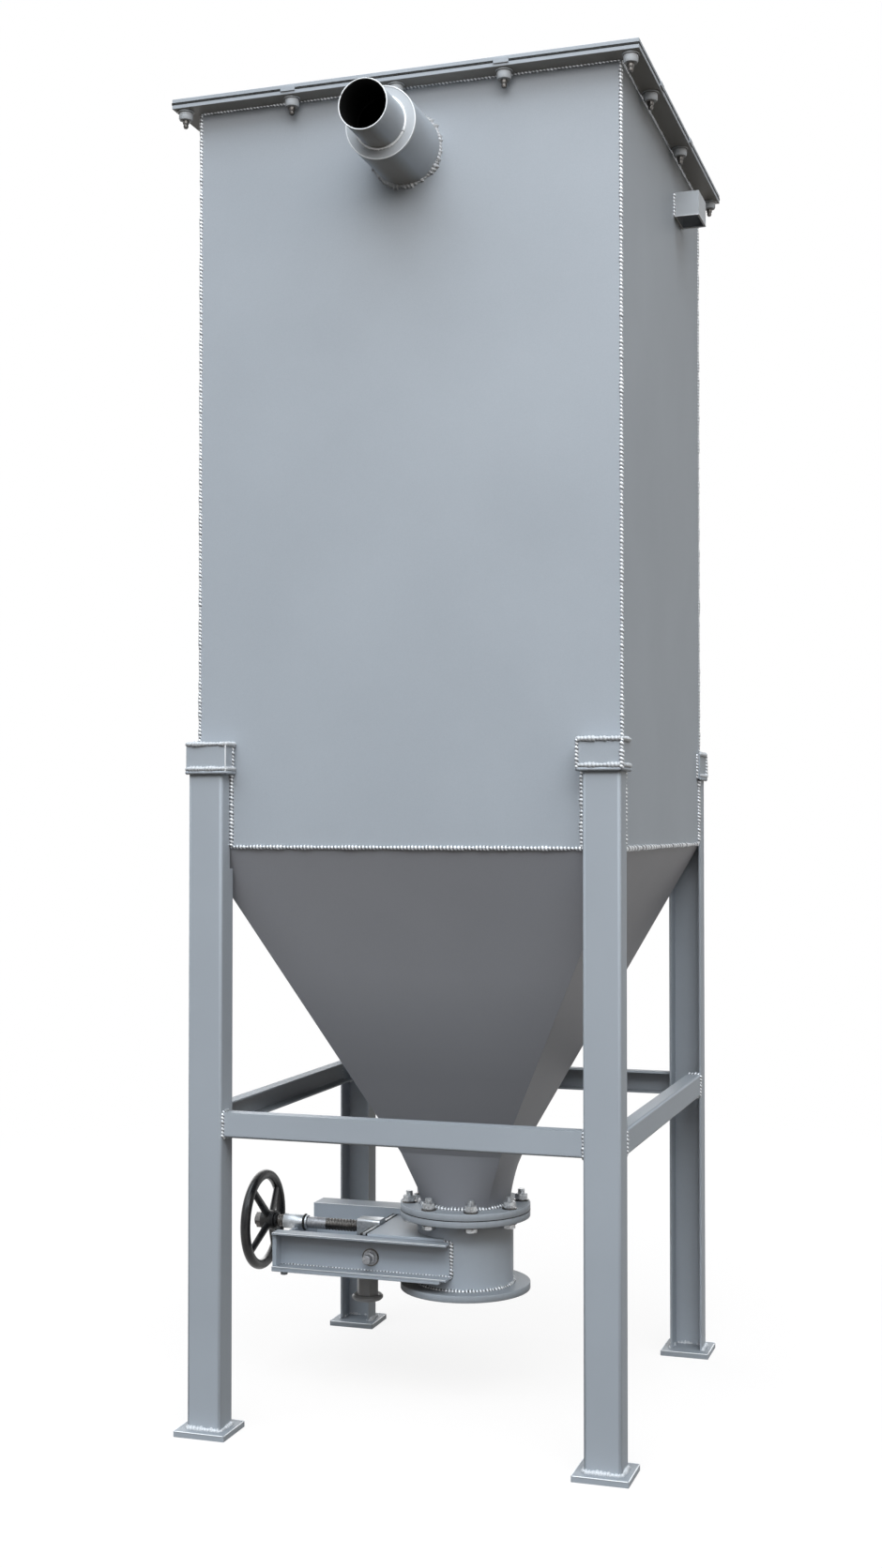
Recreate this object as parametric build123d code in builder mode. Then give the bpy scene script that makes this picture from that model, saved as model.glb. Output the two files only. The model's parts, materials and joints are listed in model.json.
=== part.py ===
"""Pulse jet dust collector on four channel legs, with a hand-wheel slide gate under its hopper.

Millimetres. +Z is up, -Y is the front with the inlet, +X is the right-hand side seen from the front.
The origin is on the floor, under the middle of the housing.
"""
import os
from math import cos, radians, sin

from build123d import *

# Housing: a welded box of plain plate
HOUSING_WIDTH = 1200.0
HOUSING_DEPTH = 1130.0
HOUSING_BOTTOM = 1605.0
HOUSING_TOP = 3670.0
WALL_PLATE = 5.0

# Bolted top: a flat bar round the rim, a gasket and the cover
FLANGE_BAR_WIDTH = 60.0
FLANGE_BAR_THICKNESS = 12.0
GASKET_THICKNESS = 3.0
GASKET_CORNER_GAP = 0.5
COVER_THICKNESS = 12.0

# Inlet on the front wall: a stub of large pipe, a ring plate and a spigot for the duct
INLET_X = 8.0
INLET_DROP = 181.0
INLET_STUB_DIAMETER = 193.7
INLET_STUB_WALL = 5.0
INLET_STUB_LENGTH = 196.0
INLET_RING_THICKNESS = 8.0
INLET_SPIGOT_DIAMETER = 133.0
INLET_SPIGOT_WALL = 4.0
INLET_SPIGOT_LENGTH = 132.0

# Socket of rectangular tube on the right wall
SOCKET_WIDTH = 75.0
SOCKET_DEPTH = 120.0
SOCKET_HEIGHT = 72.0
SOCKET_WALL = 6.0
SOCKET_FRONT_Y = 160.0
SOCKET_DROP = 194.0

# Hopper: four flat plates under the square housing, bent near the foot and rolled to a round outlet
HOPPER_PLATE = 5.0
HOPPER_BEND_RISE = 160.0
HOPPER_BEND_WIDTH = 300.0
HOPPER_BEND_DEPTH = 298.0
HOPPER_OUTLET_DIAMETER = 262.0
OUTLET_TOP = 552.0

# Outlet and slide gate body: pipe between ring flanges
OUTLET_DIAMETER = 284.0
OUTLET_WALL = 5.0
OUTLET_FLANGE_DIAMETER = 384.0
OUTLET_FLANGE_THICKNESS = 20.0
GATE_BODY_HEIGHT = 192.0

# Legs: channels that stand before the front and back walls and lap the side walls
LEG_WEB = 100.0
LEG_FLANGE = 75.0
LEG_PLATE = 6.0
LEG_BEND = 8.0
LEG_STANDOFF = 55.0
LEG_LAP = 277.0
LEG_NOTCH_DROP = 60.0

# Caps over the tops of the legs
CAP_HEIGHT = 78.0
CAP_PLATE = 6.0
CAP_OUTER_PLATE = 5.0
CAP_INNER_ROOM = 7.0
CAP_LAP = 25.0

# Base plates
BASE_PLATE_WIDTH = 150.0
BASE_PLATE_DEPTH = 140.0
BASE_PLATE_THICKNESS = 16.0

# Braces between the legs
BRACE_HEIGHT = 69.0
BRACE_FLANGE = 42.0
BRACE_PLATE = 5.5
BRACE_BEND = 7.0
BRACE_TOP = 880.0
BRACE_SETBACK = 10.0
SIDE_BRACE_SETBACK = 2.0

# Rails and bonnet of the slide gate
RAIL_HEIGHT = 105.0
RAIL_FLANGE = 50.0
RAIL_PLATE = 6.0
RAIL_DROP = 50.0
RAIL_LENGTH = 540.0
BACK_RAIL_RISE = 24.0
BACK_RAIL_FLANGE = 80.0
BONNET_LENGTH = 255.0
BONNET_CLOSE = 20.0
BONNET_PLATE = 8.0
END_PLATE_THICKNESS = 12.0
END_STRIP_WIDTH = 36.0
CRADLE_DEPTH = 8.0

# Gate blade and its fits
BLADE_THICKNESS = 10.0
BLADE_RUNNING_CLEARANCE = 0.5
BLADE_NOSE_CLEARANCE = 1.5
BLADE_BLOCK_GAP = 6.0
BLOCK_LENGTH = 72.0
BLOCK_SIZE = 53.0
BLOCK_ROUND = 8.0

# Screw spindle, its bush and the hand wheel
SPINDLE_DIAMETER = 36.0
SPINDLE_CLEARANCE = 0.3
SPINDLE_SOCKET_DEPTH = 40.0
SPINDLE_TIP_GAP = 1.0
BUSH_DIAMETER = 44.0
BUSH_LENGTH = 64.0
BUSH_OVERHANG = 37.0
WHEEL_DIAMETER = 300.0
WHEEL_RIM = 30.0
WHEEL_STANDOFF = 72.0
WHEEL_DISH = 21.0
WHEEL_HUB_DIAMETER = 58.0
WHEEL_HUB_LENGTH = 42.0
WHEEL_SPOKES = 4
WHEEL_SPOKE_TURN = 51.5
SPOKE_HUB_WIDTH = 32.0
SPOKE_RIM_WIDTH = 24.0
SPOKE_DEPTH = 16.0
WHEEL_NUT_WIDTH = 46.0
WHEEL_NUT_HEIGHT = 16.0
SPINDLE_END_PROUD = 6.0

# Clean-out plug under the bonnet
PLUG_SETBACK = 232.0
PLUG_HEX_WIDTH = 58.0
PLUG_LENGTH = 93.0
PLUG_LIP_DIAMETER = 93.0
PLUG_LIP_THICKNESS = 16.0
PLUG_LIP_CHAMFER = 5.0

# Places worked out from the sizes above
half_width = HOUSING_WIDTH / 2
half_depth = HOUSING_DEPTH / 2
inlet_z = HOUSING_TOP - INLET_DROP
socket_bottom = HOUSING_TOP - SOCKET_DROP
leg_top = HOUSING_BOTTOM + LEG_LAP
leg_outer_x = half_width + LEG_PLATE
leg_inner_x = leg_outer_x - LEG_WEB
leg_face_y = half_depth + LEG_STANDOFF
leg_tip_y = leg_face_y - LEG_FLANGE
leg_middle_x = (leg_outer_x + leg_inner_x) / 2
leg_middle_y = (leg_face_y + leg_tip_y) / 2
outlet_radius = OUTLET_DIAMETER / 2
outlet_bore_radius = outlet_radius - OUTLET_WALL
hopper_flange_bottom = OUTLET_TOP - OUTLET_FLANGE_THICKNESS
body_top = hopper_flange_bottom - OUTLET_FLANGE_THICKNESS
body_bottom = body_top - GATE_BODY_HEIGHT
rail_top = body_top - RAIL_DROP
rail_bottom = rail_top - RAIL_HEIGHT
blade_top = rail_top - BLADE_RUNNING_CLEARANCE
blade_bottom = blade_top - BLADE_THICKNESS
guide_top = blade_bottom - BLADE_RUNNING_CLEARANCE
blade_half_width = outlet_bore_radius - BLADE_NOSE_CLEARANCE
slot_half_width = blade_half_width + BLADE_RUNNING_CLEARANCE
spindle_z = (blade_top + blade_bottom) / 2
block_right_x = -BONNET_LENGTH - BLADE_BLOCK_GAP
block_left_x = block_right_x - BLOCK_LENGTH
bush_left_x = -RAIL_LENGTH - BUSH_OVERHANG
wheel_x = bush_left_x - WHEEL_STANDOFF
hub_right_x = wheel_x + WHEEL_DISH + WHEEL_HUB_LENGTH / 2
hub_left_x = hub_right_x - WHEEL_HUB_LENGTH
spindle_radius = SPINDLE_DIAMETER / 2
spindle_hole_radius = spindle_radius + SPINDLE_CLEARANCE
bush_radius = BUSH_DIAMETER / 2

os.makedirs("parts", exist_ok=True)


def keep(part, name):
    """Label a finished piece and write it to its own file."""
    part.label = name
    export_step(part, f"parts/{name}.step")


def block(low, high, mode=Mode.ADD):
    """A box between two corners, in the piece that is being built."""
    middle = [(a + b) / 2 for a, b in zip(low, high)]
    with Locations(tuple(middle)):
        Box(*[abs(b - a) for a, b in zip(low, high)], mode=mode)


def across_x(x):
    """Plane square to X at a given place, with its own x along Y and its own y along Z."""
    return Plane(origin=(x, 0, 0), x_dir=(0, 1, 0), z_dir=(1, 0, 0))


def front_plane(y):
    """Plane facing the front at a given depth, with its own x along X and its own y along Z."""
    return Plane(origin=(0, y, 0), x_dir=(1, 0, 0), z_dir=(0, -1, 0))


# Housing walls
with BuildPart() as front_wall:
    block((-half_width, -half_depth, HOUSING_BOTTOM), (half_width, -half_depth + WALL_PLATE, HOUSING_TOP))
    with BuildSketch(front_plane(-half_depth)):
        with Locations((INLET_X, inlet_z)):
            Circle(INLET_STUB_DIAMETER / 2 - INLET_STUB_WALL)
    extrude(amount=-WALL_PLATE, mode=Mode.SUBTRACT)
keep(front_wall.part, "front_wall")

with BuildPart() as back_wall:
    block((-half_width, half_depth - WALL_PLATE, HOUSING_BOTTOM), (half_width, half_depth, HOUSING_TOP))
keep(back_wall.part, "back_wall")

for side, side_name in ((-1, "left"), (1, "right")):
    with BuildPart() as side_wall:
        block((side * half_width, -half_depth + WALL_PLATE, HOUSING_BOTTOM),
              (side * (half_width - WALL_PLATE), half_depth - WALL_PLATE, HOUSING_TOP))
    keep(side_wall.part, f"{side_name}_wall")

# Flat bars round the rim
rim_x = half_width + FLANGE_BAR_WIDTH
rim_y = half_depth + FLANGE_BAR_WIDTH
rim_bottom = HOUSING_TOP - FLANGE_BAR_THICKNESS
for side, side_name in ((-1, "front"), (1, "back")):
    with BuildPart() as flange_bar:
        block((-rim_x, side * half_depth, rim_bottom), (rim_x, side * rim_y, HOUSING_TOP))
    keep(flange_bar.part, f"{side_name}_flange_bar")
for side, side_name in ((-1, "left"), (1, "right")):
    with BuildPart() as flange_bar:
        block((side * half_width, -half_depth, rim_bottom), (side * rim_x, half_depth, HOUSING_TOP))
    keep(flange_bar.part, f"{side_name}_flange_bar")

# Gasket strips and cover
cover_bottom = HOUSING_TOP + GASKET_THICKNESS
with BuildPart() as cover_gasket:
    for side in (-1, 1):
        block((-rim_x, side * half_depth, HOUSING_TOP), (rim_x, side * rim_y, cover_bottom))
        block((side * half_width, -half_depth + GASKET_CORNER_GAP, HOUSING_TOP),
              (side * rim_x, half_depth - GASKET_CORNER_GAP, cover_bottom))
keep(cover_gasket.part, "cover_gasket")

with BuildPart() as top_cover:
    block((-rim_x, -rim_y, cover_bottom), (rim_x, rim_y, cover_bottom + COVER_THICKNESS))
keep(top_cover.part, "top_cover")

# Inlet stub, ring and spigot, end to end along -Y
inlet_stub_radius = INLET_STUB_DIAMETER / 2
inlet_spigot_radius = INLET_SPIGOT_DIAMETER / 2
inlet_bore_radius = inlet_spigot_radius - INLET_SPIGOT_WALL
inlet_ring_y = -half_depth - INLET_STUB_LENGTH
inlet_spigot_y = inlet_ring_y - INLET_RING_THICKNESS
inlet_pieces = (
    ("inlet_stub", -half_depth, INLET_STUB_LENGTH, inlet_stub_radius, inlet_stub_radius - INLET_STUB_WALL),
    ("inlet_ring", inlet_ring_y, INLET_RING_THICKNESS, inlet_stub_radius, inlet_bore_radius),
    ("inlet_spigot", inlet_spigot_y, INLET_SPIGOT_LENGTH, inlet_spigot_radius, inlet_bore_radius),
)
for name, back_y, length, outer_radius, inner_radius in inlet_pieces:
    with BuildPart() as inlet_piece:
        with BuildSketch(front_plane(back_y)):
            with Locations((INLET_X, inlet_z)):
                Circle(outer_radius)
                Circle(inner_radius, mode=Mode.SUBTRACT)
        extrude(amount=length)
    keep(inlet_piece.part, name)

# Socket of rectangular tube, open above and below
with BuildPart() as wall_socket:
    with BuildSketch(Plane.XY.offset(socket_bottom)):
        with Locations((half_width + SOCKET_WIDTH / 2, SOCKET_FRONT_Y + SOCKET_DEPTH / 2)):
            Rectangle(SOCKET_WIDTH, SOCKET_DEPTH)
            Rectangle(SOCKET_WIDTH - 2 * SOCKET_WALL, SOCKET_DEPTH - 2 * SOCKET_WALL, mode=Mode.SUBTRACT)
    extrude(amount=SOCKET_HEIGHT)
keep(wall_socket.part, "wall_socket")

# Hopper plates: each runs flat from one housing edge to its bend, and on to a quarter of the outlet circle
hopper_radius = HOPPER_OUTLET_DIAMETER / 2
hopper_inner_radius = hopper_radius - HOPPER_PLATE
hopper_edges = (
    (OUTLET_TOP + HOPPER_BEND_RISE, HOPPER_BEND_WIDTH / 2, HOPPER_BEND_DEPTH / 2),
    (HOUSING_BOTTOM, half_width, half_depth),
)


def around(radius, angle):
    """Point on a circle about the outlet's axis."""
    return (radius * cos(radians(angle)), radius * sin(radians(angle)))


hopper_sides = (
    ("hopper_front", 270.0, (-1, -1), (1, -1)),
    ("hopper_right", 0.0, (1, -1), (1, 1)),
    ("hopper_back", 90.0, (1, 1), (-1, 1)),
    ("hopper_left", 180.0, (-1, 1), (-1, -1)),
)
for name, facing, first, last in hopper_sides:
    with BuildPart() as hopper_plate:
        with BuildSketch(Plane.XY.offset(OUTLET_TOP)):
            with BuildLine():
                ThreePointArc(*[around(hopper_radius, facing + turn) for turn in (-45, 0, 45)])
                Line(around(hopper_radius, facing + 45), around(hopper_inner_radius, facing + 45))
                ThreePointArc(*[around(hopper_inner_radius, facing + turn) for turn in (45, 0, -45)])
                Line(around(hopper_inner_radius, facing - 45), around(hopper_radius, facing - 45))
            make_face()
        for edge_z, outer_x, outer_y in hopper_edges:
            inner_x = outer_x - HOPPER_PLATE
            inner_y = outer_y - HOPPER_PLATE
            with BuildSketch(Plane.XY.offset(edge_z)):
                with BuildLine():
                    Polyline((first[0] * outer_x, first[1] * outer_y),
                             (last[0] * outer_x, last[1] * outer_y),
                             (last[0] * inner_x, last[1] * inner_y),
                             (first[0] * inner_x, first[1] * inner_y),
                             close=True)
                make_face()
        loft(ruled=True)
    keep(hopper_plate.part, name)

# Ring flanges and pipe of the outlet
ring_flanges = (
    ("hopper_outlet_flange", hopper_flange_bottom, hopper_inner_radius),
    ("gate_top_flange", body_top, outlet_bore_radius),
    ("gate_bottom_flange", body_bottom - OUTLET_FLANGE_THICKNESS, outlet_bore_radius),
)
for name, bottom_z, bore_radius in ring_flanges:
    with BuildPart() as ring_flange:
        with BuildSketch(Plane.XY.offset(bottom_z)):
            Circle(OUTLET_FLANGE_DIAMETER / 2)
            Circle(bore_radius, mode=Mode.SUBTRACT)
        extrude(amount=OUTLET_FLANGE_THICKNESS)
    keep(ring_flange.part, name)

with BuildPart() as gate_body:
    with BuildSketch(Plane.XY.offset(body_bottom)):
        Circle(outlet_radius)
        Circle(outlet_bore_radius, mode=Mode.SUBTRACT)
    extrude(amount=GATE_BODY_HEIGHT)
    block((-OUTLET_DIAMETER, -slot_half_width, guide_top), (0, slot_half_width, rail_top),
          mode=Mode.SUBTRACT)
keep(gate_body.part, "gate_body")

# Legs: bent channels with the web outwards, notched beside the housing
for side_y, depth_name in ((-1, "front"), (1, "back")):
    for side_x, width_name in ((-1, "left"), (1, "right")):
        with BuildPart() as leg:
            with BuildSketch(Plane.XY.offset(BASE_PLATE_THICKNESS)) as section:
                with Locations((side_x * leg_middle_x, side_y * leg_middle_y)):
                    Rectangle(LEG_WEB, LEG_FLANGE)
                fillet(section.vertices().group_by(Axis.Y)[0 if side_y < 0 else -1], LEG_BEND)
                with Locations((side_x * leg_middle_x, side_y * (leg_middle_y - LEG_PLATE / 2))):
                    Rectangle(LEG_WEB - 2 * LEG_PLATE, LEG_FLANGE - LEG_PLATE, mode=Mode.SUBTRACT)
            extrude(amount=leg_top - BASE_PLATE_THICKNESS)
            block((side_x * (half_width - LEG_WEB), side_y * half_depth, HOUSING_BOTTOM - LEG_NOTCH_DROP),
                  (side_x * half_width, side_y * leg_tip_y, leg_top), mode=Mode.SUBTRACT)
        keep(leg.part, f"leg_{depth_name}_{width_name}")

# Caps: a plate box over each leg top, lapped round the housing corner
cap_top = leg_top + CAP_PLATE
cap_bottom = cap_top - CAP_HEIGHT
cap_inner_x = leg_inner_x - CAP_INNER_ROOM
with BuildPart() as leg_caps:
    for side_x in (-1, 1):
        for side_y in (-1, 1):
            block((side_x * (cap_inner_x - CAP_PLATE), side_y * (leg_face_y + CAP_PLATE), cap_bottom),
                  (side_x * (leg_outer_x + CAP_OUTER_PLATE), side_y * (leg_tip_y - CAP_LAP), cap_top))
            block((side_x * cap_inner_x, side_y * leg_face_y, cap_bottom),
                  (side_x * leg_outer_x, side_y * leg_tip_y, leg_top), mode=Mode.SUBTRACT)
    block((-half_width, -half_depth, cap_bottom), (half_width, half_depth, cap_top), mode=Mode.SUBTRACT)
keep(leg_caps.part, "leg_caps")

# Base plates
with BuildPart() as base_plates:
    for side_x in (-1, 1):
        for side_y in (-1, 1):
            with Locations((side_x * leg_middle_x, side_y * leg_middle_y, BASE_PLATE_THICKNESS / 2)):
                Box(BASE_PLATE_WIDTH, BASE_PLATE_DEPTH, BASE_PLATE_THICKNESS)
keep(base_plates.part, "base_plates")

# Braces: channels with the web outwards
brace_face_y = leg_face_y - BRACE_SETBACK
brace_middle_z = BRACE_TOP - BRACE_HEIGHT / 2
for side, side_name in ((-1, "front"), (1, "back")):
    with BuildPart() as brace:
        with BuildSketch(across_x(-leg_inner_x)) as section:
            with Locations((side * (brace_face_y - BRACE_FLANGE / 2), brace_middle_z)):
                Rectangle(BRACE_FLANGE, BRACE_HEIGHT)
            fillet(section.vertices().group_by(Axis.Y)[0 if side < 0 else -1], BRACE_BEND)
            with Locations((side * (brace_face_y - (BRACE_FLANGE + BRACE_PLATE) / 2), brace_middle_z)):
                Rectangle(BRACE_FLANGE - BRACE_PLATE, BRACE_HEIGHT - 2 * BRACE_PLATE, mode=Mode.SUBTRACT)
        extrude(amount=2 * leg_inner_x)
    keep(brace.part, f"{side_name}_brace")

brace_face_x = leg_outer_x - SIDE_BRACE_SETBACK
for side, side_name in ((-1, "left"), (1, "right")):
    with BuildPart() as brace:
        with BuildSketch(front_plane(leg_tip_y)) as section:
            with Locations((side * (brace_face_x - BRACE_FLANGE / 2), brace_middle_z)):
                Rectangle(BRACE_FLANGE, BRACE_HEIGHT)
            fillet(section.vertices().group_by(Axis.X)[0 if side < 0 else -1], BRACE_BEND)
            with Locations((side * (brace_face_x - (BRACE_FLANGE + BRACE_PLATE) / 2), brace_middle_z)):
                Rectangle(BRACE_FLANGE - BRACE_PLATE, BRACE_HEIGHT - 2 * BRACE_PLATE, mode=Mode.SUBTRACT)
        extrude(amount=2 * leg_tip_y)
    keep(brace.part, f"{side_name}_brace")

# Rails: channels with their backs to the gate body, the back one larger
rails = (
    ("front_rail", -1, RAIL_FLANGE, RAIL_HEIGHT),
    ("back_rail", 1, BACK_RAIL_FLANGE, RAIL_HEIGHT + BACK_RAIL_RISE),
)
for name, side, flange, height in rails:
    rail_middle_z = rail_bottom + height / 2
    with BuildPart() as rail:
        with BuildSketch(across_x(-RAIL_LENGTH)):
            with Locations((side * (outlet_radius + flange / 2), rail_middle_z)):
                Rectangle(flange, height)
            with Locations((side * (outlet_radius + (flange + RAIL_PLATE) / 2), rail_middle_z)):
                Rectangle(flange - RAIL_PLATE, height - 2 * RAIL_PLATE, mode=Mode.SUBTRACT)
        extrude(amount=RAIL_LENGTH)
    keep(rail.part, name)

# End plate between the rails, with a cradle for the bush, and strips that close the rails' ends
bonnet_half_width = outlet_radius + RAIL_PLATE
with BuildPart() as rail_end_plate:
    block((-RAIL_LENGTH, -outlet_radius, rail_bottom),
          (-RAIL_LENGTH + END_PLATE_THICKNESS, outlet_radius, spindle_z - bush_radius + CRADLE_DEPTH))
    with BuildSketch(across_x(-RAIL_LENGTH)):
        with Locations((0, spindle_z)):
            Circle(bush_radius)
    extrude(amount=END_PLATE_THICKNESS, mode=Mode.SUBTRACT)
    for side in (-1, 1):
        block((-RAIL_LENGTH, side * bonnet_half_width, rail_bottom + RAIL_PLATE),
              (-RAIL_LENGTH + END_PLATE_THICKNESS, side * (bonnet_half_width + END_STRIP_WIDTH),
               rail_top - RAIL_PLATE))
keep(rail_end_plate.part, "rail_end_plate")

# Bonnet: cover plate above the blade, guide tray round it, bottom plate under both rails
bonnet_plates = (
    ("bonnet_top_plate", rail_top, BONNET_LENGTH, bonnet_half_width, outlet_radius),
    ("bonnet_bottom_plate", rail_bottom - BONNET_PLATE, RAIL_LENGTH,
     outlet_radius + RAIL_FLANGE, outlet_radius + BACK_RAIL_FLANGE),
)
for name, bottom_z, length, front_reach, back_reach in bonnet_plates:
    with BuildPart() as bonnet_plate:
        with BuildSketch(Plane.XY.offset(bottom_z)):
            with Locations((-(length + BONNET_CLOSE) / 2, (back_reach - front_reach) / 2)):
                Rectangle(length - BONNET_CLOSE, front_reach + back_reach)
            Circle(outlet_radius, mode=Mode.SUBTRACT)
        extrude(amount=BONNET_PLATE)
    keep(bonnet_plate.part, name)

with BuildPart() as gate_guide:
    with BuildSketch(Plane.XY.offset(guide_top - BONNET_PLATE)):
        with Locations((-BONNET_LENGTH / 2, 0)):
            Rectangle(BONNET_LENGTH, 2 * outlet_radius)
        Circle(outlet_radius, mode=Mode.SUBTRACT)
        block_width = outlet_radius - slot_half_width
        for side in (-1, 1):
            with Locations((0, side * (slot_half_width + block_width / 2))):
                Rectangle(OUTLET_DIAMETER / 2, block_width, mode=Mode.SUBTRACT)
    extrude(amount=rail_top - guide_top + BONNET_PLATE)
    block((-2 * BONNET_LENGTH, -slot_half_width, guide_top), (0, slot_half_width, rail_top),
          mode=Mode.SUBTRACT)
keep(gate_guide.part, "gate_guide")

# Clean-out plug: a hexagon with a round lip at its foot
plug_x = PLUG_SETBACK - RAIL_LENGTH
plug_top = rail_bottom - BONNET_PLATE
plug_bottom = plug_top - PLUG_LENGTH - PLUG_LIP_THICKNESS
with BuildPart() as cleanout_plug:
    with BuildSketch(Plane.XY.offset(plug_bottom)):
        with Locations((plug_x, 0)):
            Circle(PLUG_LIP_DIAMETER / 2)
    extrude(amount=PLUG_LIP_THICKNESS)
    chamfer(cleanout_plug.edges().filter_by(GeomType.CIRCLE), PLUG_LIP_CHAMFER)
    with BuildSketch(Plane.XY.offset(plug_bottom + PLUG_LIP_THICKNESS)):
        with Locations((plug_x, 0)):
            RegularPolygon(PLUG_HEX_WIDTH / 2, 6, major_radius=False)
    extrude(amount=PLUG_LENGTH)
keep(cleanout_plug.part, "cleanout_plug")

# Bush that carries the spindle
with BuildPart() as spindle_bush:
    with BuildSketch(across_x(bush_left_x)):
        with Locations((0, spindle_z)):
            Circle(bush_radius)
            Circle(spindle_hole_radius, mode=Mode.SUBTRACT)
    extrude(amount=BUSH_LENGTH)
keep(spindle_bush.part, "spindle_bush")

# Gate blade with a round nose, and the block at its tail
with BuildPart() as gate_blade:
    with BuildSketch(Plane.XY.offset(blade_bottom)):
        Circle(blade_half_width)
        with Locations((block_right_x / 2, 0)):
            Rectangle(-block_right_x, 2 * blade_half_width)
    extrude(amount=BLADE_THICKNESS)
keep(gate_blade.part, "gate_blade")

with BuildPart() as spindle_block:
    half_block = BLOCK_SIZE / 2
    block((block_left_x, -half_block, spindle_z - half_block),
          (block_right_x, half_block, spindle_z + half_block))
    fillet(spindle_block.edges().filter_by(Axis.X), BLOCK_ROUND)
    with BuildSketch(across_x(block_left_x)):
        with Locations((0, spindle_z)):
            Circle(spindle_hole_radius)
    extrude(amount=SPINDLE_SOCKET_DEPTH, mode=Mode.SUBTRACT)
keep(spindle_block.part, "spindle_block")

# Spindle from the wheel nut to the socket in the block
spindle_left_x = hub_left_x - WHEEL_NUT_HEIGHT - SPINDLE_END_PROUD
spindle_right_x = block_left_x + SPINDLE_SOCKET_DEPTH - SPINDLE_TIP_GAP
with BuildPart() as spindle:
    with BuildSketch(across_x(spindle_left_x)):
        with Locations((0, spindle_z)):
            Circle(spindle_radius)
    extrude(amount=spindle_right_x - spindle_left_x)
keep(spindle.part, "spindle")

# Hand wheel: round rim, dished spokes and a hub on the spindle
rim_radius = (WHEEL_DIAMETER - WHEEL_RIM) / 2
wheel_axis = Axis((0, 0, spindle_z), (1, 0, 0))
with BuildPart() as handwheel:
    with BuildSketch(Plane.XZ):
        with Locations((wheel_x, spindle_z + rim_radius)):
            Circle(WHEEL_RIM / 2)
    revolve(axis=wheel_axis)
    with BuildSketch(across_x(hub_left_x)):
        with Locations((0, spindle_z)):
            Circle(WHEEL_HUB_DIAMETER / 2)
    extrude(amount=WHEEL_HUB_LENGTH)
    for spoke in range(WHEEL_SPOKES):
        turn = radians(WHEEL_SPOKE_TURN + spoke * 360 / WHEEL_SPOKES)
        outward = Vector(0, sin(turn), cos(turn))
        sideways = Vector(0, cos(turn), -sin(turn))
        root = Vector(wheel_x + WHEEL_DISH, 0, spindle_z) + outward * spindle_radius
        tip = Vector(wheel_x, 0, spindle_z) + outward * rim_radius
        with BuildSketch(Plane(origin=root, x_dir=sideways, z_dir=tip - root)):
            Ellipse(SPOKE_HUB_WIDTH / 2, SPOKE_DEPTH / 2)
        with BuildSketch(Plane(origin=tip, x_dir=sideways, z_dir=tip - root)):
            Ellipse(SPOKE_RIM_WIDTH / 2, SPOKE_DEPTH / 2)
        loft()
    with BuildSketch(across_x(hub_left_x)):
        with Locations((0, spindle_z)):
            Circle(spindle_radius)
    extrude(amount=WHEEL_HUB_LENGTH, mode=Mode.SUBTRACT)
keep(handwheel.part, "handwheel")

# Nut that holds the wheel on the spindle
with BuildPart() as wheel_nut:
    with BuildSketch(across_x(hub_left_x - WHEEL_NUT_HEIGHT)):
        with Locations((0, spindle_z)):
            RegularPolygon(WHEEL_NUT_WIDTH / 2, 6, major_radius=False)
            Circle(spindle_radius, mode=Mode.SUBTRACT)
    extrude(amount=WHEEL_NUT_HEIGHT)
keep(wheel_nut.part, "wheel_nut")
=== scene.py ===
"""Pulse jet dust collector: paint, weld beads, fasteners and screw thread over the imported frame.

Metres. +Z is up, -Y is the front with the inlet, +X is the right-hand side seen from the front.
"""
import json
import random
from math import cos, pi, radians, sin, tan

import bmesh
import bpy
from mathutils import Matrix, Vector


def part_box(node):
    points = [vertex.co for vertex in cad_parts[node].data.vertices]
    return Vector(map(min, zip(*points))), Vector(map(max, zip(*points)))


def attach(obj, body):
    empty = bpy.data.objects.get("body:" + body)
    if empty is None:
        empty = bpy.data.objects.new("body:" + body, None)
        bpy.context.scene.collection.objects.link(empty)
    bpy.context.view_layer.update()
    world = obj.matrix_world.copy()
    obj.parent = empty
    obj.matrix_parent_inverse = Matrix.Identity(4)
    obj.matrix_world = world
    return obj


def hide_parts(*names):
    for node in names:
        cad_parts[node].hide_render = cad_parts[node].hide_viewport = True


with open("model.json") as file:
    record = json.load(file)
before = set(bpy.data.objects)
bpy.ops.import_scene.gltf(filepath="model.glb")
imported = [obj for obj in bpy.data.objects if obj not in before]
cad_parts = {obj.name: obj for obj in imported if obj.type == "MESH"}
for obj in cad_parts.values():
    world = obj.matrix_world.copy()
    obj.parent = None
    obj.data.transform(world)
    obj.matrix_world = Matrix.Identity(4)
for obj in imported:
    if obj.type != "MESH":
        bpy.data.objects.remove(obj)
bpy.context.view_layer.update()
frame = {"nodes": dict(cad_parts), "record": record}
nodes = frame["nodes"]
mounts = {mount["name"]: mount for mount in frame["record"]["mounts"]}
MM = 0.001
UP = Vector((0, 0, 1))
RIGHT = Vector((1, 0, 0))
BACK = Vector((0, 1, 0))
SIDES = (-1, 1)
CORNERS = [(side_x, side_y) for side_x in SIDES for side_y in SIDES]
SEED = 7

# Photograph: height and focal length in its pixels, and where it was taken from
PHOTO_HEIGHT = 1672
FOCAL_PIXELS = 1958.4
CAMERA_PLACE = (1.618, -5.2186, 1.6726)
CAMERA_YAW = 0.3139
CAMERA_PITCH = 0.021
CAMERA_REACH = 200
SENSOR = 36.0

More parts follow.
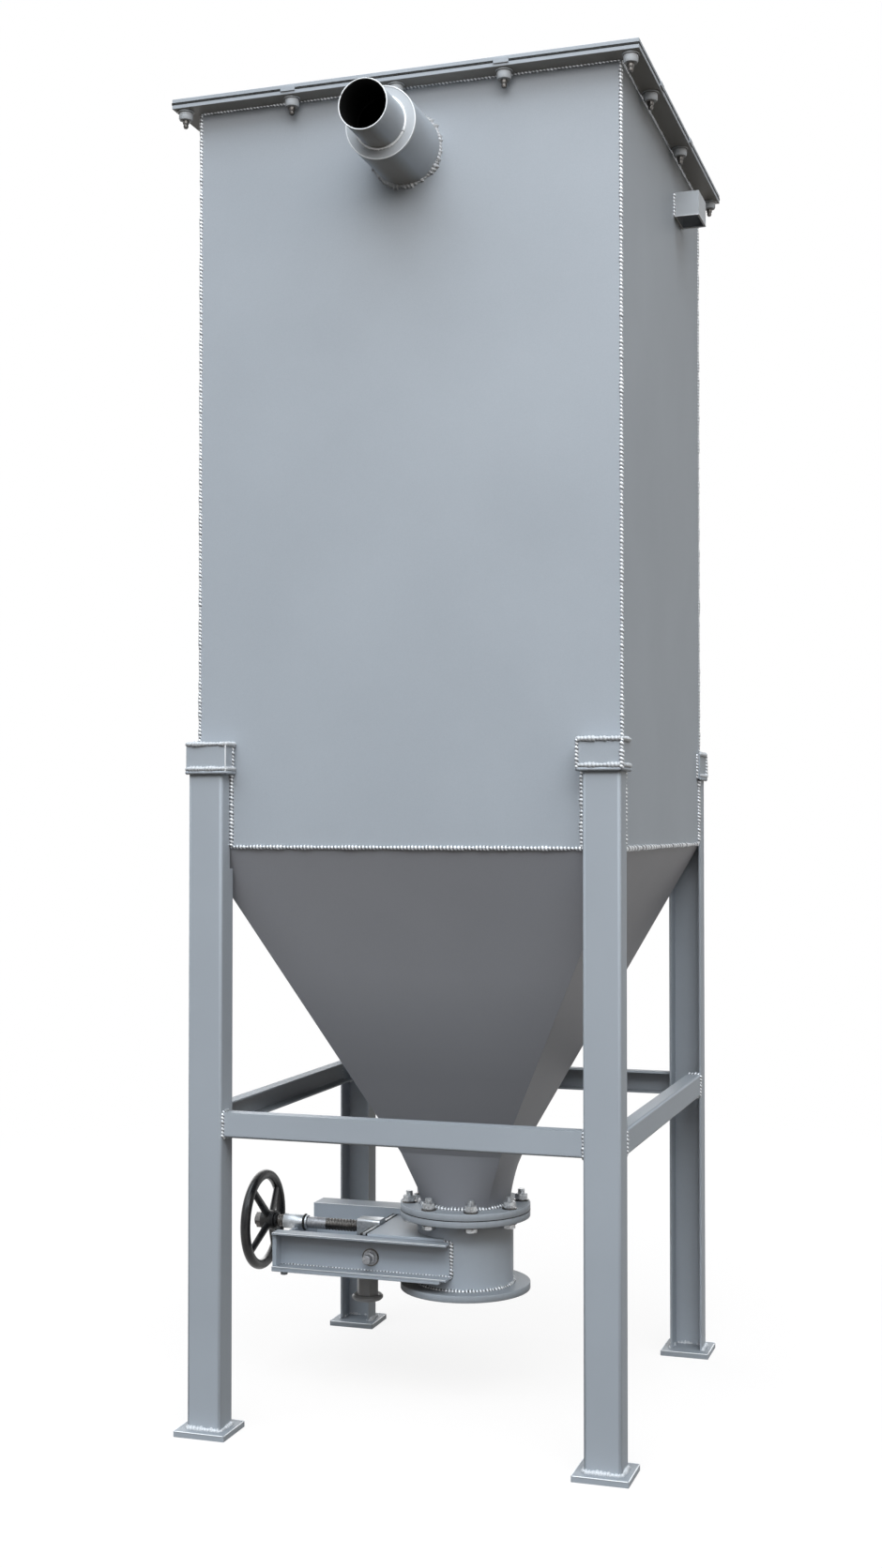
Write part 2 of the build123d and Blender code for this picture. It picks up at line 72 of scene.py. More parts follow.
# Lamps: height, turn and spread in degrees
COOL = (0.84, 0.925, 1.0)
LAMPS = {
    "key": {"height": 62.0, "turn": 35.0, "strength": 2.40, "spread": 70.0, "color": COOL},
    "cross": {"height": 62.0, "turn": -25.0, "strength": 2.02, "spread": 70.0, "color": COOL},
    "fill": {"height": 15.0, "turn": 5.0, "strength": 0.27, "spread": 34.0, "color": (1.0, 0.95, 0.93)},
    "side": {"height": 8.0, "turn": 80.0, "strength": 0.28, "spread": 34.0, "color": (1.0, 0.90, 0.76)},
    "back": {"height": 10.0, "turn": -145.0, "strength": 1.60, "spread": 60.0, "color": (1.0, 1.0, 1.0)},
}
SOFTBOX_PLACE = (1.2, -3.4, 4.4)
SOFTBOX_AIM = (0.15, -0.6, 2.8)
SOFTBOX_SIZE = (4.0, 1.2)
SOFTBOX_POWER = 62.0
SOFTBOX_COLOR = (0.98, 0.99, 1.0)

# Floor: light that it sends back, colour that it shows, and how its own white grows away from the object
FLOOR_BOUNCE = (0.035, 0.03, 0.024)
FLOOR_SHOWN = (1.0, 0.93, 0.885)
FLOOR_MOTTLE = 0.98
FLOOR_GLOW = 0.86
FLOOR_FADE = (1.0, 5.0)
FLOOR_SIZE = 60.0

# Colours of the paint, of specks in it, of painted shade on it, and of painted highlight and painted shade
# on weld ripples
PAINT_LIGHT = (0.41, 0.44, 0.475)
PAINT_DARK = (0.37, 0.397, 0.43)
SPRAY_SPECK = (0.75, 0.77, 0.8)
TOP_SHADE = (0.13, 0.137, 0.145)
UNDER_SHADE = (0.26, 0.245, 0.225)
LOW_SHADE = (0.275, 0.278, 0.298)
DEEP_SHADE = (0.006, 0.006, 0.006)
RIPPLE_SHADE = (0.14, 0.144, 0.15)
RIPPLE_HIGHLIGHT = (0.90, 0.92, 0.94)

# Painted shade on faces that look up, painted shade on faces that look down, and painted shade on the low
# part of the hopper
TOP_SHADE_SHARE = 0.5
TOP_SHADE_SLOPE = (0.6, 0.95)
UNDER_SHADE_SLOPE = (-0.98, -0.85)
LOW_SHADE_HEIGHTS = (0.95, 1.25)

# Painted shade inside the inlet: how far its edge reaches past the bore
SHADE_EDGE = (0.3 * MM, 1.2 * MM)
SPIGOT_SHADE_MM = 1.5
STUB_BORE = 92 * MM

# Noise layers: scale, detail and stretch
EVEN = (1, 1, 1)
NOISE = {
    "cloud": (2.2, 5.0, EVEN),
    "streak": (3.0, 4.0, (1, 1, 0.25)),
    "grain": (900.0, 2.0, EVEN),
    "peel": (260.0, 2.0, EVEN),
    "wave": (4.5, 2.0, EVEN),
    "glint": (130.0, 3.0, EVEN),
    "pit": (420.0, 2.0, EVEN),
    "patch": (60.0, 4.0, EVEN),
    "scratch": (700.0, 3.0, EVEN),
    "smear": (45.0, 5.0, (0.35, 1, 1)),
    "fine": (500.0, 3.0, EVEN),
    "casting": (120.0, 3.0, EVEN),
    "rub": (22.0, 5.0, EVEN),
    "bloom": (80.0, 4.0, EVEN),
    "floor": (3.0, 4.0, EVEN),
}

# Bumps by noise layer: depth and strength
BUMPS = {
    "wave": (3 * MM, 0.25),
    "peel": (0.25 * MM, 0.25),
    "grain": (0.08 * MM, 0.3),
    "glint": (1.0 * MM, 0.4),
    "pit": (0.4 * MM, 0.4),
    "scratch": (0.06 * MM, 0.3),
    "smear": (0.3 * MM, 0.3),
    "fine": (0.05 * MM, 0.3),
    "casting": (0.5 * MM, 0.35),
    "bloom": (0.2 * MM, 0.4),
}

# Rounding of plate edges
PLATE_EDGE = 1.2 * MM
HEAVY_EDGE = 1.6 * MM
EDGE_ANGLE = radians(35)
EDGE_STEPS = 2
MERGE_DISTANCE = 0.01 * MM

# Weld beads: ripples, how finely a bead is cut, how its width drifts and how its ends taper
RIPPLE_PITCH = 10.0 * MM
RIPPLE_STEPS = 5
RIPPLE_SLANT = 0.85
RIPPLE_DEPTH = 0.30
RIPPLE_RANGE = (0.7, 1.2)
BEAD_SIDES = 8
BEAD_WANDER = 0.32
BEAD_DRIFT = 0.7
BEAD_END = 0.45
BEAD_END_STEP = 0.2
BEAD_SHARP = radians(60)
STEEP = 0.9

# Painted highlight along an edge
LINE_DEPTH = 0.05
LINE_WANDER = 0.1

# Hexagons: turned circle as a share of the width, and slope of the chamfer
HEX_TURNED = 0.96
HEX_CHAMFER = radians(30)


def material_tree(name):
    """A new node material, its tree and its shader."""
    material = bpy.data.materials.new(name)
    material.use_nodes = True
    tree = material.node_tree
    return material, tree, tree.nodes["Principled BSDF"]


def add_node(tree, kind, inputs=(), **settings):
    """A node with its settings, and with inputs given as names with plain values or sockets to join."""
    node = tree.nodes.new(kind)
    for key, value in settings.items():
        setattr(node, key, value)
    for key, value in dict(inputs).items():
        if isinstance(value, bpy.types.NodeSocket):
            tree.links.new(value, node.inputs[key])
        else:
            node.inputs[key].default_value = value
    return node


def noise(tree, layer):
    """A noise layer in the frame's own metres, so that it runs on from piece to piece."""
    scale, detail, stretch = NOISE[layer]
    coords = add_node(tree, "ShaderNodeTexCoord")
    mapping = add_node(tree, "ShaderNodeMapping", {"Vector": coords.outputs["Object"], "Scale": stretch})
    made = add_node(tree, "ShaderNodeTexNoise", {
        "Vector": mapping.outputs["Vector"], "Scale": scale, "Detail": detail})
    return made.outputs["Fac"]


def spread(tree, value, low, high, start=0.3, end=0.7):
    """A value stretched from start and end to low and high."""
    made = add_node(tree, "ShaderNodeMapRange", {
        "Value": value, "From Min": start, "From Max": end, "To Min": low, "To Max": high})
    return made.outputs["Result"]


def blend_colors(tree, factor, first, second):
    """Mix of two colours, each a plain colour or a socket."""
    made = add_node(tree, "ShaderNodeMix", {"Factor": factor}, data_type="RGBA")
    for socket, color in ((made.inputs[6], first), (made.inputs[7], second)):
        if isinstance(color, bpy.types.NodeSocket):
            tree.links.new(color, socket)
        else:
            socket.default_value = (*color, 1)
    return made.outputs[2]


def bumps(tree, shader, **layers):
    """Bump from noise layers given by their names."""
    normal = None
    for layer, height in layers.items():
        depth, strength = BUMPS[layer]
        bump = add_node(tree, "ShaderNodeBump", {
            "Height": height, "Distance": depth, "Strength": strength})
        if normal:
            tree.links.new(normal, bump.inputs["Normal"])
        normal = bump.outputs["Normal"]
    tree.links.new(normal, shader.inputs["Normal"])


def near_axis(tree, centre, radius):
    """One inside a bore along y and nought outside it, with a narrow step."""
    coords = add_node(tree, "ShaderNodeTexCoord")
    offset = add_node(tree, "ShaderNodeVectorMath", {0: coords.outputs["Object"], 1: centre},
                      operation="SUBTRACT")
    flat = add_node(tree, "ShaderNodeVectorMath", {0: offset.outputs[0], 1: (1, 0, 1)},
                    operation="MULTIPLY")
    reach = add_node(tree, "ShaderNodeVectorMath", {0: flat.outputs[0]}, operation="LENGTH")
    start, end = SHADE_EDGE
    return spread(tree, reach.outputs["Value"], 1, 0, radius + start, radius + end)


def paint(name, light, dark, roughness, metallic=0.0, bore=None, under=UNDER_SHADE, top_shade=TOP_SHADE_SHARE,
          low_shade=None):
    """Sprayed paint on slightly wavy plate: cloudy tone, fine grain, and painted shade on upward and
    downward faces, low down and in a bore.
    """
    material, tree, shader = material_tree(name)
    cloud = noise(tree, "cloud")
    streak = noise(tree, "streak")
    grain = noise(tree, "grain")
    peel = noise(tree, "peel")
    wave = noise(tree, "wave")
    clouded = blend_colors(tree, spread(tree, cloud, 0, 1), light, dark)
    streaked = blend_colors(tree, spread(tree, streak, 0, 0.25, 0.45, 0.75), clouded, dark)
    tone = blend_colors(tree, spread(tree, grain, 0, 0.12), streaked, SPRAY_SPECK)
    geometry = add_node(tree, "ShaderNodeNewGeometry")
    facing = add_node(tree, "ShaderNodeSeparateXYZ", {0: geometry.outputs["True Normal"]})
    # Darker on faces that look up: painted shade
    tone = blend_colors(tree, spread(tree, facing.outputs["Z"], 0, top_shade, *TOP_SHADE_SLOPE), tone, TOP_SHADE)
    # Darker and warmer on faces that look down: painted shade
    tone = blend_colors(tree, spread(tree, facing.outputs["Z"], 1, 0, *UNDER_SHADE_SLOPE), tone, under)
    if bore:
        # Near-black inside a bore: painted shade
        tone = blend_colors(tree, near_axis(tree, *bore), tone, DEEP_SHADE)
    # Darker below a height: painted shade
    if low_shade:
        coords = add_node(tree, "ShaderNodeTexCoord")
        place = add_node(tree, "ShaderNodeSeparateXYZ", {0: coords.outputs["Object"]})
        low_share = spread(tree, place.outputs["Z"], 1, 0, *LOW_SHADE_HEIGHTS)
        tone = blend_colors(tree, low_share, tone, low_shade)
    tree.links.new(tone, shader.inputs["Base Color"])
    rough = spread(tree, peel, roughness - 0.05, roughness + 0.07)
    tree.links.new(rough, shader.inputs["Roughness"])
    shader.inputs["Metallic"].default_value = metallic
    shader.inputs["Specular IOR Level"].default_value = 0.25
    bumps(tree, shader, wave=wave, peel=peel, grain=grain)
    return material


def weld_paint(name):
    """Paint over weld beads: painted highlight on the ripples' crests, painted shade in their grooves and in
    dark pits, and bright glints where it is smooth.
    """
    material, tree, shader = material_tree(name)
    glint = noise(tree, "glint")
    pit = noise(tree, "pit")
    crest = add_node(tree, "ShaderNodeAttribute", attribute_name="crest")
    height = spread(tree, crest.outputs["Fac"], 0, 1, 0.5, 1.0)
    # Ripple crests light as painted highlight, grooves and pits dark as painted shade
    ripple = blend_colors(tree, height, RIPPLE_SHADE, RIPPLE_HIGHLIGHT)
    tone = blend_colors(tree, spread(tree, glint, 0, 0.4, 0.45, 0.62), ripple, PAINT_LIGHT)
    pitted = blend_colors(tree, spread(tree, pit, 0, 0.3, 0.52, 0.7), tone, RIPPLE_SHADE)
    tree.links.new(pitted, shader.inputs["Base Color"])
    tree.links.new(spread(tree, glint, 0.42, 0.26), shader.inputs["Roughness"])
    shader.inputs["Metallic"].default_value = 0.45
    bumps(tree, shader, glint=glint, pit=pit)
    return material


def bare_metal(name, light, dark, roughness, cell, metallic):
    """Zinc, galvanised or dull steel: metallic, with spangle and a patchy dullness."""
    material, tree, shader = material_tree(name)
    coords = add_node(tree, "ShaderNodeTexCoord")
    spangle = add_node(tree, "ShaderNodeTexVoronoi", {
        "Vector": coords.outputs["Object"], "Scale": 1 / cell})
    patch = noise(tree, "patch")
    scratch = noise(tree, "scratch")
    tone = blend_colors(tree, spangle.outputs["Color"], light, dark)
    dulled = blend_colors(tree, spread(tree, patch, 0, 0.35), tone, dark)
    tree.links.new(dulled, shader.inputs["Base Color"])
    rough = spread(tree, patch, roughness - 0.06, roughness + 0.14)
    tree.links.new(rough, shader.inputs["Roughness"])
    shader.inputs["Metallic"].default_value = metallic
    bumps(tree, shader, scratch=scratch)
    return material


def greased_steel(name):
    """Oiled screw steel: dark, with smears of grease that change its gloss."""
    material, tree, shader = material_tree(name)
    smear = noise(tree, "smear")
    fine = noise(tree, "fine")
    tone = blend_colors(tree, spread(tree, smear, 0, 1), (0.035, 0.032, 0.03), (0.16, 0.15, 0.14))
    tree.links.new(tone, shader.inputs["Base Color"])
    tree.links.new(spread(tree, smear, 0.18, 0.42), shader.inputs["Roughness"])
    shader.inputs["Metallic"].default_value = 0.75
    bumps(tree, shader, smear=smear, fine=fine)
    return material


def enamel(name):
    """Thick black gloss over a casting, a little lumpy, with paler rubbed places."""
    material, tree, shader = material_tree(name)
    casting = noise(tree, "casting")
    rub = noise(tree, "rub")
    rubbed = spread(tree, rub, 0, 1, 0.5, 0.8)
    tone = blend_colors(tree, rubbed, (0.011, 0.011, 0.012), (0.05, 0.046, 0.042))
    tree.links.new(tone, shader.inputs["Base Color"])
    tree.links.new(spread(tree, rub, 0.22, 0.42), shader.inputs["Roughness"])
    shader.inputs["Specular IOR Level"].default_value = 0.3
    shader.inputs["Coat Weight"].default_value = 0.08
    shader.inputs["Coat Roughness"].default_value = 0.15
    bumps(tree, shader, casting=casting)
    return material


def rubber(name):
    """Matt black packing with a dusty bloom."""
    material, tree, shader = material_tree(name)
    bloom = noise(tree, "bloom")
    tone = blend_colors(tree, spread(tree, bloom, 0, 1), (0.012, 0.012, 0.012), (0.05, 0.05, 0.048))
    tree.links.new(tone, shader.inputs["Base Color"])
    tree.links.new(spread(tree, bloom, 0.6, 0.85), shader.inputs["Roughness"])
    shader.inputs["Specular IOR Level"].default_value = 0.15
    bumps(tree, shader, bloom=bloom)
    return material


# Materials
inlet_bore = mounts["inlet_bore"]
spigot_bore = (inlet_bore["pos_m"], (inlet_bore["dims"]["r_mm"] + SPIGOT_SHADE_MM) * MM)
stub_bore = (inlet_bore["pos_m"], STUB_BORE)
GREY = paint("grey_paint", PAINT_LIGHT, PAINT_DARK, roughness=0.55)
# Grey that turns near-black inside the spigot's bore: painted shade
BORE_SHADED = paint("sooty_paint", PAINT_LIGHT, PAINT_DARK, roughness=0.5, bore=spigot_bore)
# Lighter silver grey, painted light where it brightens the inlet ring, wall socket and plug
LIT_SILVER = paint("silver_paint", (0.54, 0.56, 0.58), (0.47, 0.49, 0.51),
               roughness=0.45, bore=spigot_bore)
# Grey with near-black on faces that look down: painted shade under the cover
COVER = paint("cover_paint", PAINT_LIGHT, PAINT_DARK, roughness=0.55, under=DEEP_SHADE)
# Near-white for lines along edges and for the spigot's bead: painted highlight
EDGE_HIGHLIGHT = paint("rubbed_edge", (0.86, 0.87, 0.88), (0.76, 0.77, 0.78),
               roughness=0.35, metallic=0.2, top_shade=0.0)
# Light grey for weld beads: painted highlight
BEAD_HIGHLIGHT = paint("pale_bead", (0.60, 0.61, 0.625), (0.47, 0.48, 0.49),
             roughness=0.4, metallic=0.1, top_shade=0.0)
# Lighter, bluer copy of the grey for the gate: painted light under the hopper
GATE_LIT = paint("gate_paint", (0.50, 0.545, 0.60), (0.45, 0.49, 0.54), roughness=0.5)
# Darker, warmer copy of the grey for the hopper, darker still towards the outlet: painted shade
HOPPER_SHADED = paint("hopper_paint", (0.378, 0.378, 0.402), (0.342, 0.342, 0.366),
               roughness=0.55, low_shade=LOW_SHADE)
# Base plates: more painted shade on their tops
BASE = paint("base_paint", PAINT_LIGHT, PAINT_DARK, roughness=0.5, top_shade=0.55)
# Grey that turns near-black inside the stub's bore: painted shade
STUB = paint("stub_paint", PAINT_LIGHT, PAINT_DARK, roughness=0.5, bore=stub_bore)
# Near-black for the inside of the wall socket: painted shade
SOCKET_SHADE = paint("dark_primer", (0.05, 0.05, 0.05), (0.035, 0.034, 0.033), roughness=0.7)
WELD = weld_paint("weld_paint")
ZINC = bare_metal("zinc_plate", (0.72, 0.74, 0.76), (0.24, 0.245, 0.25),
                  roughness=0.32, cell=6 * MM, metallic=0.6)
DULL_STEEL = bare_metal("dull_steel", (0.42, 0.43, 0.45), (0.20, 0.20, 0.21),
                        roughness=0.42, cell=6 * MM, metallic=0.6)
GALVANISED = bare_metal("galvanised_steel", (0.56, 0.58, 0.60), (0.38, 0.40, 0.42),
                        roughness=0.36, cell=9 * MM, metallic=0.85)
GREASED = greased_steel("dark_steel")
BLACK = enamel("black_enamel")
RUBBER = rubber("gasket_rubber")


def round_edges(thing, width):
    """Bevel on the sharp edges of an object."""
    bevel = thing.modifiers.new("edges", "BEVEL")
    bevel.width = width
    bevel.segments = EDGE_STEPS
    bevel.limit_method = "ANGLE"
    return bevel


class Shape:
    """Points and faces of one piece, gathered before its mesh is made."""

    def __init__(self):
        self.points = []
        self.faces = []
        self.crests = []

    def skin(self, rings, closed=False):
        """Faces over rings of points, which all have as many points. Open ends are capped."""
        first = len(self.points)
        count = len(rings[0])
        for ring in rings:
            self.points.extend(ring)
        for row in range(len(rings) if closed else len(rings) - 1):
            low = first + row * count
            high = first + (row + 1) % len(rings) * count
            for i in range(count):
                j = (i + 1) % count
                self.faces.append((low + i, low + j, high + j, high + i))
        if not closed:
            last = first + (len(rings) - 1) * count
            self.faces.append(tuple(first + i for i in reversed(range(count))))
            self.faces.append(tuple(last + i for i in range(count)))

    def lathe(self, profile, place, sides=24):
        """Turned shape about its own z, from pairs of radius and height."""
        turns = [2 * pi * i / sides for i in range(sides)]
        self.skin([[place @ Vector((r * cos(t), r * sin(t), z)) for t in turns] for r, z in profile])

    def ring(self, inner, outer, low, high, place, sides=32, edge=0.5 * MM):
        """Washer or collar with rounded edges, open in the middle."""
        section = ((inner, low), (outer - edge, low), (outer, low + edge), (outer, high - edge),
                   (outer - edge, high), (inner, high))
        turns = [2 * pi * i / sides for i in range(sides)]
        rings = [[place @ Vector((r * cos(t), r * sin(t), z)) for r, z in section] for t in turns]
        self.skin(rings, closed=True)

    def hexagon(self, width, low, high, place, steps=4):
        """Hexagon with turned chamfers at both ends."""
        flat = width / 2
        turned = flat * HEX_TURNED
        turns = [2 * pi * i / (6 * steps) for i in range(6 * steps)]
        reach = [flat / cos((t + pi / 6) % (pi / 3) - pi / 6) for t in turns]
        drop = [(r - turned) * tan(HEX_CHAMFER) for r in reach]

        def ring_at(radii, heights):
            return [place @ Vector((r * cos(t), r * sin(t), z)) for r, t, z in zip(radii, turns, heights)]

        ends = [turned] * len(turns)
        self.skin([ring_at(ends, [low] * len(turns)), ring_at(reach, [low + d for d in drop]),
                   ring_at(reach, [high - d for d in drop]), ring_at(ends, [high] * len(turns))])

    def thread(self, crest, root, pitch, low, high, place, sides=16, cuts=8):
        """Right-hand screw thread along its own z, with flat crests and roots."""
        count = max(2, round((high - low) / pitch * cuts))
        rings = []
        for row in range(count + 1):
            z = low + (high - low) * row / count
            ring = []
            for i in range(sides):
                share = ((z - low) / pitch - i / sides) % 1
                flank = min(1, max(0, 4 * abs(share - 0.5) - 0.5))
                r = root + (crest - root) * flank
                turn = 2 * pi * i / sides
                ring.append(place @ Vector((r * cos(turn), r * sin(turn), z)))
            rings.append(ring)
        self.skin(rings)

    def block(self, low, high):
        """Plain bar between two corners, whose edges a bevel rounds later."""
        (x0, y0, z0), (x1, y1, z1) = low, high
        self.skin([[Vector((x0, y0, z)), Vector((x1, y0, z)), Vector((x1, y1, z)), Vector((x0, y1, z))]
                   for z in (z0, z1)])

    def bead(self, route, radius, luck, closed=False, depth=RIPPLE_DEPTH, wander=BEAD_WANDER):
        """Weld bead of overlapping ripples along a route of close points, in random but seeded sizes."""
        rings = []
        count = len(route)
        width = 1.0
        ripple = 1.0
        for row, point in enumerate(route):
            ahead = route[(row + 1) % count] if closed else route[min(row + 1, count - 1)]
            behind = route[row - 1] if closed else route[max(row - 1, 0)]
            along = (ahead - behind).normalized()
            side = along.cross(RIGHT if abs(along.z) > STEEP else UP).normalized()
            lift = side.cross(along)
            if row % RIPPLE_STEPS == 0:
                width += (luck.uniform(1 - wander, 1 + wander) - width) * BEAD_DRIFT
                ripple = luck.uniform(*RIPPLE_RANGE)
            from_end = count if closed else min(row, count - 1 - row)
            taper = min(1, BEAD_END + BEAD_END_STEP * from_end)
            ring = []
            for t in (2 * pi * i / BEAD_SIDES for i in range(BEAD_SIDES)):
                wave = abs(sin(pi * (row + RIPPLE_SLANT * (cos(t) + sin(t))) / RIPPLE_STEPS))
                r = radius * taper * width * (1 - depth * ripple * (1 - wave))
                ring.append(point + r * (cos(t) * side + sin(t) * lift))
                self.crests.append(1 - min(1, ripple) * (1 - wave))
            rings.append(ring)
        self.skin(rings, closed)

    def piece(self, name, material, body="collector", sharp=EDGE_ANGLE, edge=0.0):
        """The gathered shape as an object that rides on a body."""
        mesh = bpy.data.meshes.new(name)
        mesh.from_pydata(self.points, [], self.faces)
        tidy = bmesh.new()
        tidy.from_mesh(mesh)
        bmesh.ops.recalc_face_normals(tidy, faces=tidy.faces)
        tidy.to_mesh(mesh)
        tidy.free()
        if self.crests:
            mesh.attributes.new("crest", "FLOAT", "POINT").data.foreach_set("value", self.crests)
        mesh.shade_smooth()
        mesh.set_sharp_from_angle(angle=sharp)
        made = bpy.data.objects.new(name, mesh)
        bpy.context.scene.collection.objects.link(made)
        mesh.materials.append(material)
        if edge:
            round_edges(made, edge)
        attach(made, body)
        return made


def straight(start, end, pitch):
    """Close points from start to end, one ripple step apart."""
    start = Vector(start)
    end = Vector(end)
    count = max(4, round((end - start).length / pitch * RIPPLE_STEPS))
    return [start.lerp(end, i / count) for i in range(count + 1)]


def circle(centre, radius, across, up):
    """Close points round a circle in the plane of two directions."""
    count = round(2 * pi * radius / RIPPLE_PITCH) * RIPPLE_STEPS
    turns = [2 * pi * i / count for i in range(count)]
    return [Vector(centre) + radius * (cos(t) * Vector(across) + sin(t) * Vector(up)) for t in turns]


def level_run(start, end, z):
    """Run between two places at one height."""
    return (*start, z), (*end, z)


def upright_run(x, y, low, high):
    """Run from one height to another at one place."""
    return (x, y, low), (x, y, high)


def weld_piece(name, radius, runs=(), rings=(), depth=RIPPLE_DEPTH, wander=BEAD_WANDER, material=WELD,
               pitch=RIPPLE_PITCH):
    """One piece of all the beads of a kind: straight runs and whole rings."""
    luck = random.Random(f"{SEED}{name}")
    shape = Shape()
    for start, end in runs:
        shape.bead(straight(start, end, pitch), radius, luck, False, depth, wander)
    for centre, ring_radius, across, up in rings:
        shape.bead(circle(centre, ring_radius, across, up), radius, luck, True, depth, wander)
    return shape.piece(name, material, sharp=BEAD_SHARP)


def edge_line(name, radius, runs=(), rings=()):
    """One piece of the painted highlights along plate edges of a kind."""
    return weld_piece(name, radius, runs, rings, LINE_DEPTH, LINE_WANDER, EDGE_HIGHLIGHT)


def dress(node, material, edge):
    """Give a node its finish, and round its plate edges."""
    node.material_slots[0].material = material
    if edge:
        merge = node.modifiers.new("merge", "WELD")
        merge.merge_threshold = MERGE_DISTANCE
        bevel = round_edges(node, edge)
        bevel.angle_limit = EDGE_ANGLE
        bevel.harden_normals = True


# Finish and edge rounding of the frame's nodes
FINISHES = (
    (GREY, 0, ("front_wall", "back_wall", "left_wall", "right_wall")),
    (GREY, PLATE_EDGE, ("front_flange_bar", "back_flange_bar", "left_flange_bar", "right_flange_bar")),
    (GREY, PLATE_EDGE, ("leg_front_left", "leg_front_right", "leg_back_left", "leg_back_right", "leg_caps")),
    (GREY, PLATE_EDGE, ("front_brace", "back_brace", "left_brace", "right_brace")),
    (GREY, HEAVY_EDGE, ("hopper_outlet_flange", "gate_top_flange", "gate_bottom_flange")),
    (COVER, HEAVY_EDGE, ("top_cover",)),
    (HOPPER_SHADED, 0, ("hopper_front", "hopper_back", "hopper_left", "hopper_right")),
    (GATE_LIT, PLATE_EDGE, ("front_rail", "back_rail", "rail_end_plate", "gate_guide")),
    (GATE_LIT, PLATE_EDGE, ("bonnet_top_plate", "bonnet_bottom_plate")),
    (GATE_LIT, 0, ("gate_body",)),
    (BASE, HEAVY_EDGE, ("base_plates",)),
    (LIT_SILVER, HEAVY_EDGE, ("cleanout_plug",)),
    (LIT_SILVER, PLATE_EDGE, ("inlet_ring", "wall_socket")),
    (BORE_SHADED, PLATE_EDGE, ("inlet_spigot",)),
    (STUB, 0, ("inlet_stub",)),
    (RUBBER, 0, ("cover_gasket",)),
    (GALVANISED, PLATE_EDGE, ("spindle_bush", "spindle_block")),
    (GREASED, 0, ("gate_blade", "spindle", "wheel_nut")),
    (BLACK, 0, ("handwheel",)),
)
for finish, rounding, names in FINISHES:
    for node_name in names:
        dress(nodes[node_name], finish, rounding)

# Places taken from the frame
front_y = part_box("front_wall")[0].y
back_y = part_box("back_wall")[1].y
right_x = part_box("right_wall")[1].x
housing_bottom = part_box("front_wall")[0].z
housing_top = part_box("front_wall")[1].z
rim_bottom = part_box("front_flange_bar")[0].z
cover_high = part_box("top_cover")[1]
cap_low, cap_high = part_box("leg_caps")
leg_low, leg_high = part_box("leg_front_right")
leg_inner_x = leg_low.x
leg_tip_y = -leg_high.y
brace_low, brace_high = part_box("front_brace")
side_brace_low, side_brace_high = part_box("right_brace")
base_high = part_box("base_plates")[1]
base_top = base_high.z
stub_low, stub_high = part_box("inlet_stub")
spigot_low, spigot_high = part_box("inlet_spigot")
inlet_ring_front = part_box("inlet_ring")[0].y
socket_low, socket_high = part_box("wall_socket")
body_low, body_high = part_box("gate_body")
outlet_radius = body_high.x
outlet_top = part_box("hopper_outlet_flange")[1].z
gate_flange_low, gate_flange_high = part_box("gate_top_flange")
rail_low, rail_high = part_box("front_rail")
back_rail_low, back_rail_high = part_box("back_rail")
bonnet_low, bonnet_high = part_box("bonnet_top_plate")
bonnet_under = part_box("bonnet_bottom_plate")[0].z
gasket_low, gasket_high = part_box("cover_gasket")
spindle_low, spindle_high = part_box("spindle")
bush_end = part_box("spindle_bush")[1].x
block_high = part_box("spindle_block")[1]
hub_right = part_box("handwheel")[1].x

# Corner seams of the housing
SEAM_SINK = 1.5 * MM
seams = []
for side_x, side_y in CORNERS:
    seam_x = side_x * (right_x - SEAM_SINK)
    seam_y = side_y * (back_y - SEAM_SINK)
    seams.append(upright_run(seam_x, seam_y, housing_bottom, rim_bottom))
weld_piece("housing_corner_welds", radius=5.5 * MM, runs=seams)

# Seam between the housing and the hopper, and beads under the rim
LONG_PITCH = 36 * MM
hopper_runs = []
side_runs = []
rim_runs = []
for side in SIDES:
    x = side * right_x
    y = side * back_y
    hopper_runs.append(level_run((-leg_inner_x, y), (leg_inner_x, y), housing_bottom))
    side_runs.append(level_run((x, -leg_tip_y), (x, leg_tip_y), housing_bottom))
    rim_runs.append(level_run((-right_x, y), (right_x, y), rim_bottom))
    rim_runs.append(level_run((x, -back_y), (x, back_y), rim_bottom))
weld_piece("hopper_seam_welds", radius=6 * MM, runs=hopper_runs)
weld_piece("hopper_side_welds", radius=7 * MM, runs=side_runs, depth=0.4, pitch=LONG_PITCH)
weld_piece("rim_welds", radius=4.5 * MM, runs=rim_runs, wander=0.5)

# Beads between the legs and the housing
CAP_OVERHANG = 13 * MM
LEG_BEAD_SHIFT = {-1: 4 * MM, 1: CAP_OVERHANG}
leg_runs = []
for side_x, side_y in CORNERS:
    bead_x = side_x * (leg_inner_x - LEG_BEAD_SHIFT[side_x])
    leg_runs.append(upright_run(bead_x, side_y * back_y, housing_bottom, cap_low.z))
    leg_runs.append(upright_run(side_x * right_x, side_y * leg_tip_y, housing_bottom, cap_low.z))
weld_piece("leg_welds", radius=8 * MM, runs=leg_runs)

